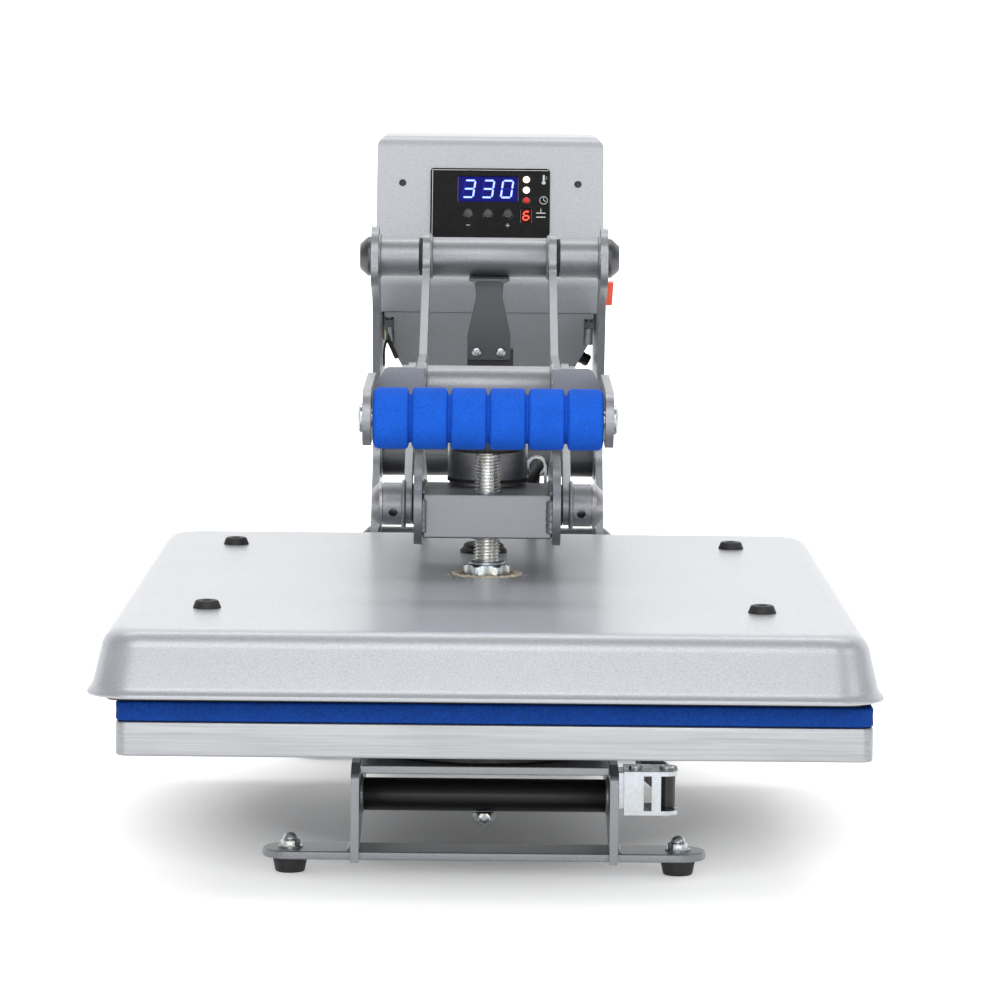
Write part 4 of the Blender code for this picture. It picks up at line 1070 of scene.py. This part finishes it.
def rubber_cord(name, route, radius):
    piece = sweep(name, smooth_route(route, 12), radius, 16)
    piece.data.materials.append(MATERIALS["black_rubber"])
    return piece


lead = rubber_cord("heater_lead", FRAME_ROUTE, LEAD)
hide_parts("heater_lead_frame", "heater_lead_arm")
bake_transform(lead)
loop = rubber_cord("heater_lead_loop", HEAD_ROUTE, LEAD * 0.998)
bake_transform(loop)

SENSOR_LEAD = ((-0.069, 0.2405, 0.28), (-0.0668, 0.2425, 0.2745), (-0.064, 0.2455, 0.268),
               (-0.062, 0.25, 0.263))
EARTH_LEAD = ((-0.0684, 0.24, 0.2755), (-0.0694, 0.2385, 0.2715), (-0.07, 0.238, 0.267),
              (-0.07, 0.238, 0.258))
for name, spots, radius in (("sensor_lead", SENSOR_LEAD, 0.0015),
                            ("earth_lead", EARTH_LEAD, 0.0008)):
    finish_piece(sweep(name, smooth_route(spots, 10), radius, 12), "black_rubber", "frame")
for i, (name, colour) in enumerate((("red", (0.55, 0.02, 0.015)), ("white", (0.75, 0.75, 0.73)),
                                    ("green", (0.02, 0.3, 0.06)))):
    left = 0.0011 * i - 0.071
    block = box_piece(f"connector_{name}", (left, 0.2385, 0.2755),
                      (left + 0.0011, 0.243, 0.2815), 0.0002)
    finish_piece(block, "black_plastic", "frame", moulded(f"connector_{name}", colour, 0.45))

for i, x in enumerate((-0.006, 0.0, 0.006)):
    z = 0.3335 if i == 1 else 0.327
    pin = box_piece(f"inlet_pin_{i + 1}", (x - 0.001, 0.387, z - 0.002),
                    (x + 0.001, 0.3965, z + 0.002), 0.0002)
    finish_piece(pin, "zinc", "frame")


# ---------------- studio
def studio():
    """A pale floor that curves up into a wall. Its glow is painted light: it falls to nothing near
    the press, a painted shadow under it, and grows with distance from it.
    """
    reach, wall, cove, top, under = 40, 16, 4, 24, 0.00002
    work = bmesh.new()
    profile = [(-reach, 0), (-2, 0), (2.4, 0), (wall - cove, 0)]
    profile += [(wall - cove + cove * sin(a), cove - cove * cos(a))
                for a in (radians(90 * k / 16) for k in range(1, 17))]
    profile += [(wall, top)]
    rows = [[work.verts.new((x, y, z - under)) for x in (-reach, reach)] for y, z in profile]
    for first, second in zip(rows, rows[1:]):
        work.faces.new((*first, *reversed(second)))
    mesh = bpy.data.meshes.new("sweep")
    work.to_mesh(mesh)
    work.free()
    mesh.shade_smooth()
    backdrop = in_scene("studio_sweep", mesh)
    paper = Surface("studio_paper", (0.93, 0.93, 0.93), 0.0, 0.9, (3.7, 3.7, 1))
    paper.mapping.inputs["Location"].default_value = (0, 0.02, 0)
    paper.shade(paper.noise(3), 0.002)
    material = paper.done()
    # Painted shadow: the floor's glow is zero close round the press and rises to full further out.
    wide = paper.node("ShaderNodeMapping", paper.place, {"Scale": (0.09, 0.09, 0.09)})
    near, far = [paper.node("ShaderNodeTexGradient", place, gradient_type="SPHERICAL")
                 for place in (paper.place, wide.outputs["Vector"])]
    painted_shadow_glow = paper.node("ShaderNodeMath", operation="ADD")
    for i, (ball, full) in enumerate(((near, 0.5), (far, 0.8))):
        paper.join(paper.span(ball.outputs["Fac"], 0.42, 0.0, 0.0, full), painted_shadow_glow.inputs[i])
    paper.join(painted_shadow_glow.outputs["Value"], paper.shader.inputs["Emission Strength"])
    paper.shader.inputs["Emission Color"].default_value = (1, 1, 1, 1)
    mesh.materials.append(material)


def area_light(name, spot, aim, size, power):
    data = bpy.data.lights.new(name, "AREA")
    data.shape, data.size, data.size_y = "RECTANGLE", *size
    data.energy = power
    light = in_scene(name, data)
    light.location = spot
    light.rotation_mode = "QUATERNION"
    light.rotation_quaternion = (Vector(aim) - Vector(spot)).to_track_quat("-Z", "Y")


studio()
area_light("key", (-0.35, -2.7, 2.1), (0, -0.1, 0.1), (2.6, 1.7), 47)
area_light("fill", (2.2, -1.6, 1.5), (0, 0, 0.15), (1.2, 1.2), 12)
area_light("front", (-0.1, -3.4, 0.42), (0, 0, 0.25), (2.4, 0.7), 17)
area_light("top", (0.0, 0.5, 2.6), (0, 0, 0.1), (2.6, 1.6), 6)
area_light("backdrop_light", (0, 1.6, 4.5), (0, 4.0, 1.5), (5, 2), 150)

world = bpy.data.worlds.new("studio_air")
world.use_nodes = True
world.node_tree.nodes["Background"].inputs["Color"].default_value = (1, 1, 1, 1)
world.node_tree.nodes["Background"].inputs["Strength"].default_value = 0.34
bpy.context.scene.world = world
bpy.context.scene.view_settings.view_transform = "Standard"

camera_data = bpy.data.cameras.new("camera")
camera_data.sensor_width = 36
camera_data.lens = 163.2
camera_data.clip_start, camera_data.clip_end = 0.05, 100
camera = in_scene("camera", camera_data)
pitch, yaw, roll = radians(5.71), radians(0.165), radians(0.5645)
camera.matrix_world = (Matrix.Translation((-0.0002, -2.79, 0.4712)) @ Matrix.Rotation(-yaw, 4, "Z")
                       @ Matrix.Rotation(pi / 2 - pitch, 4, "X") @ Matrix.Rotation(roll, 4, "Z"))
bpy.context.scene.camera = camera
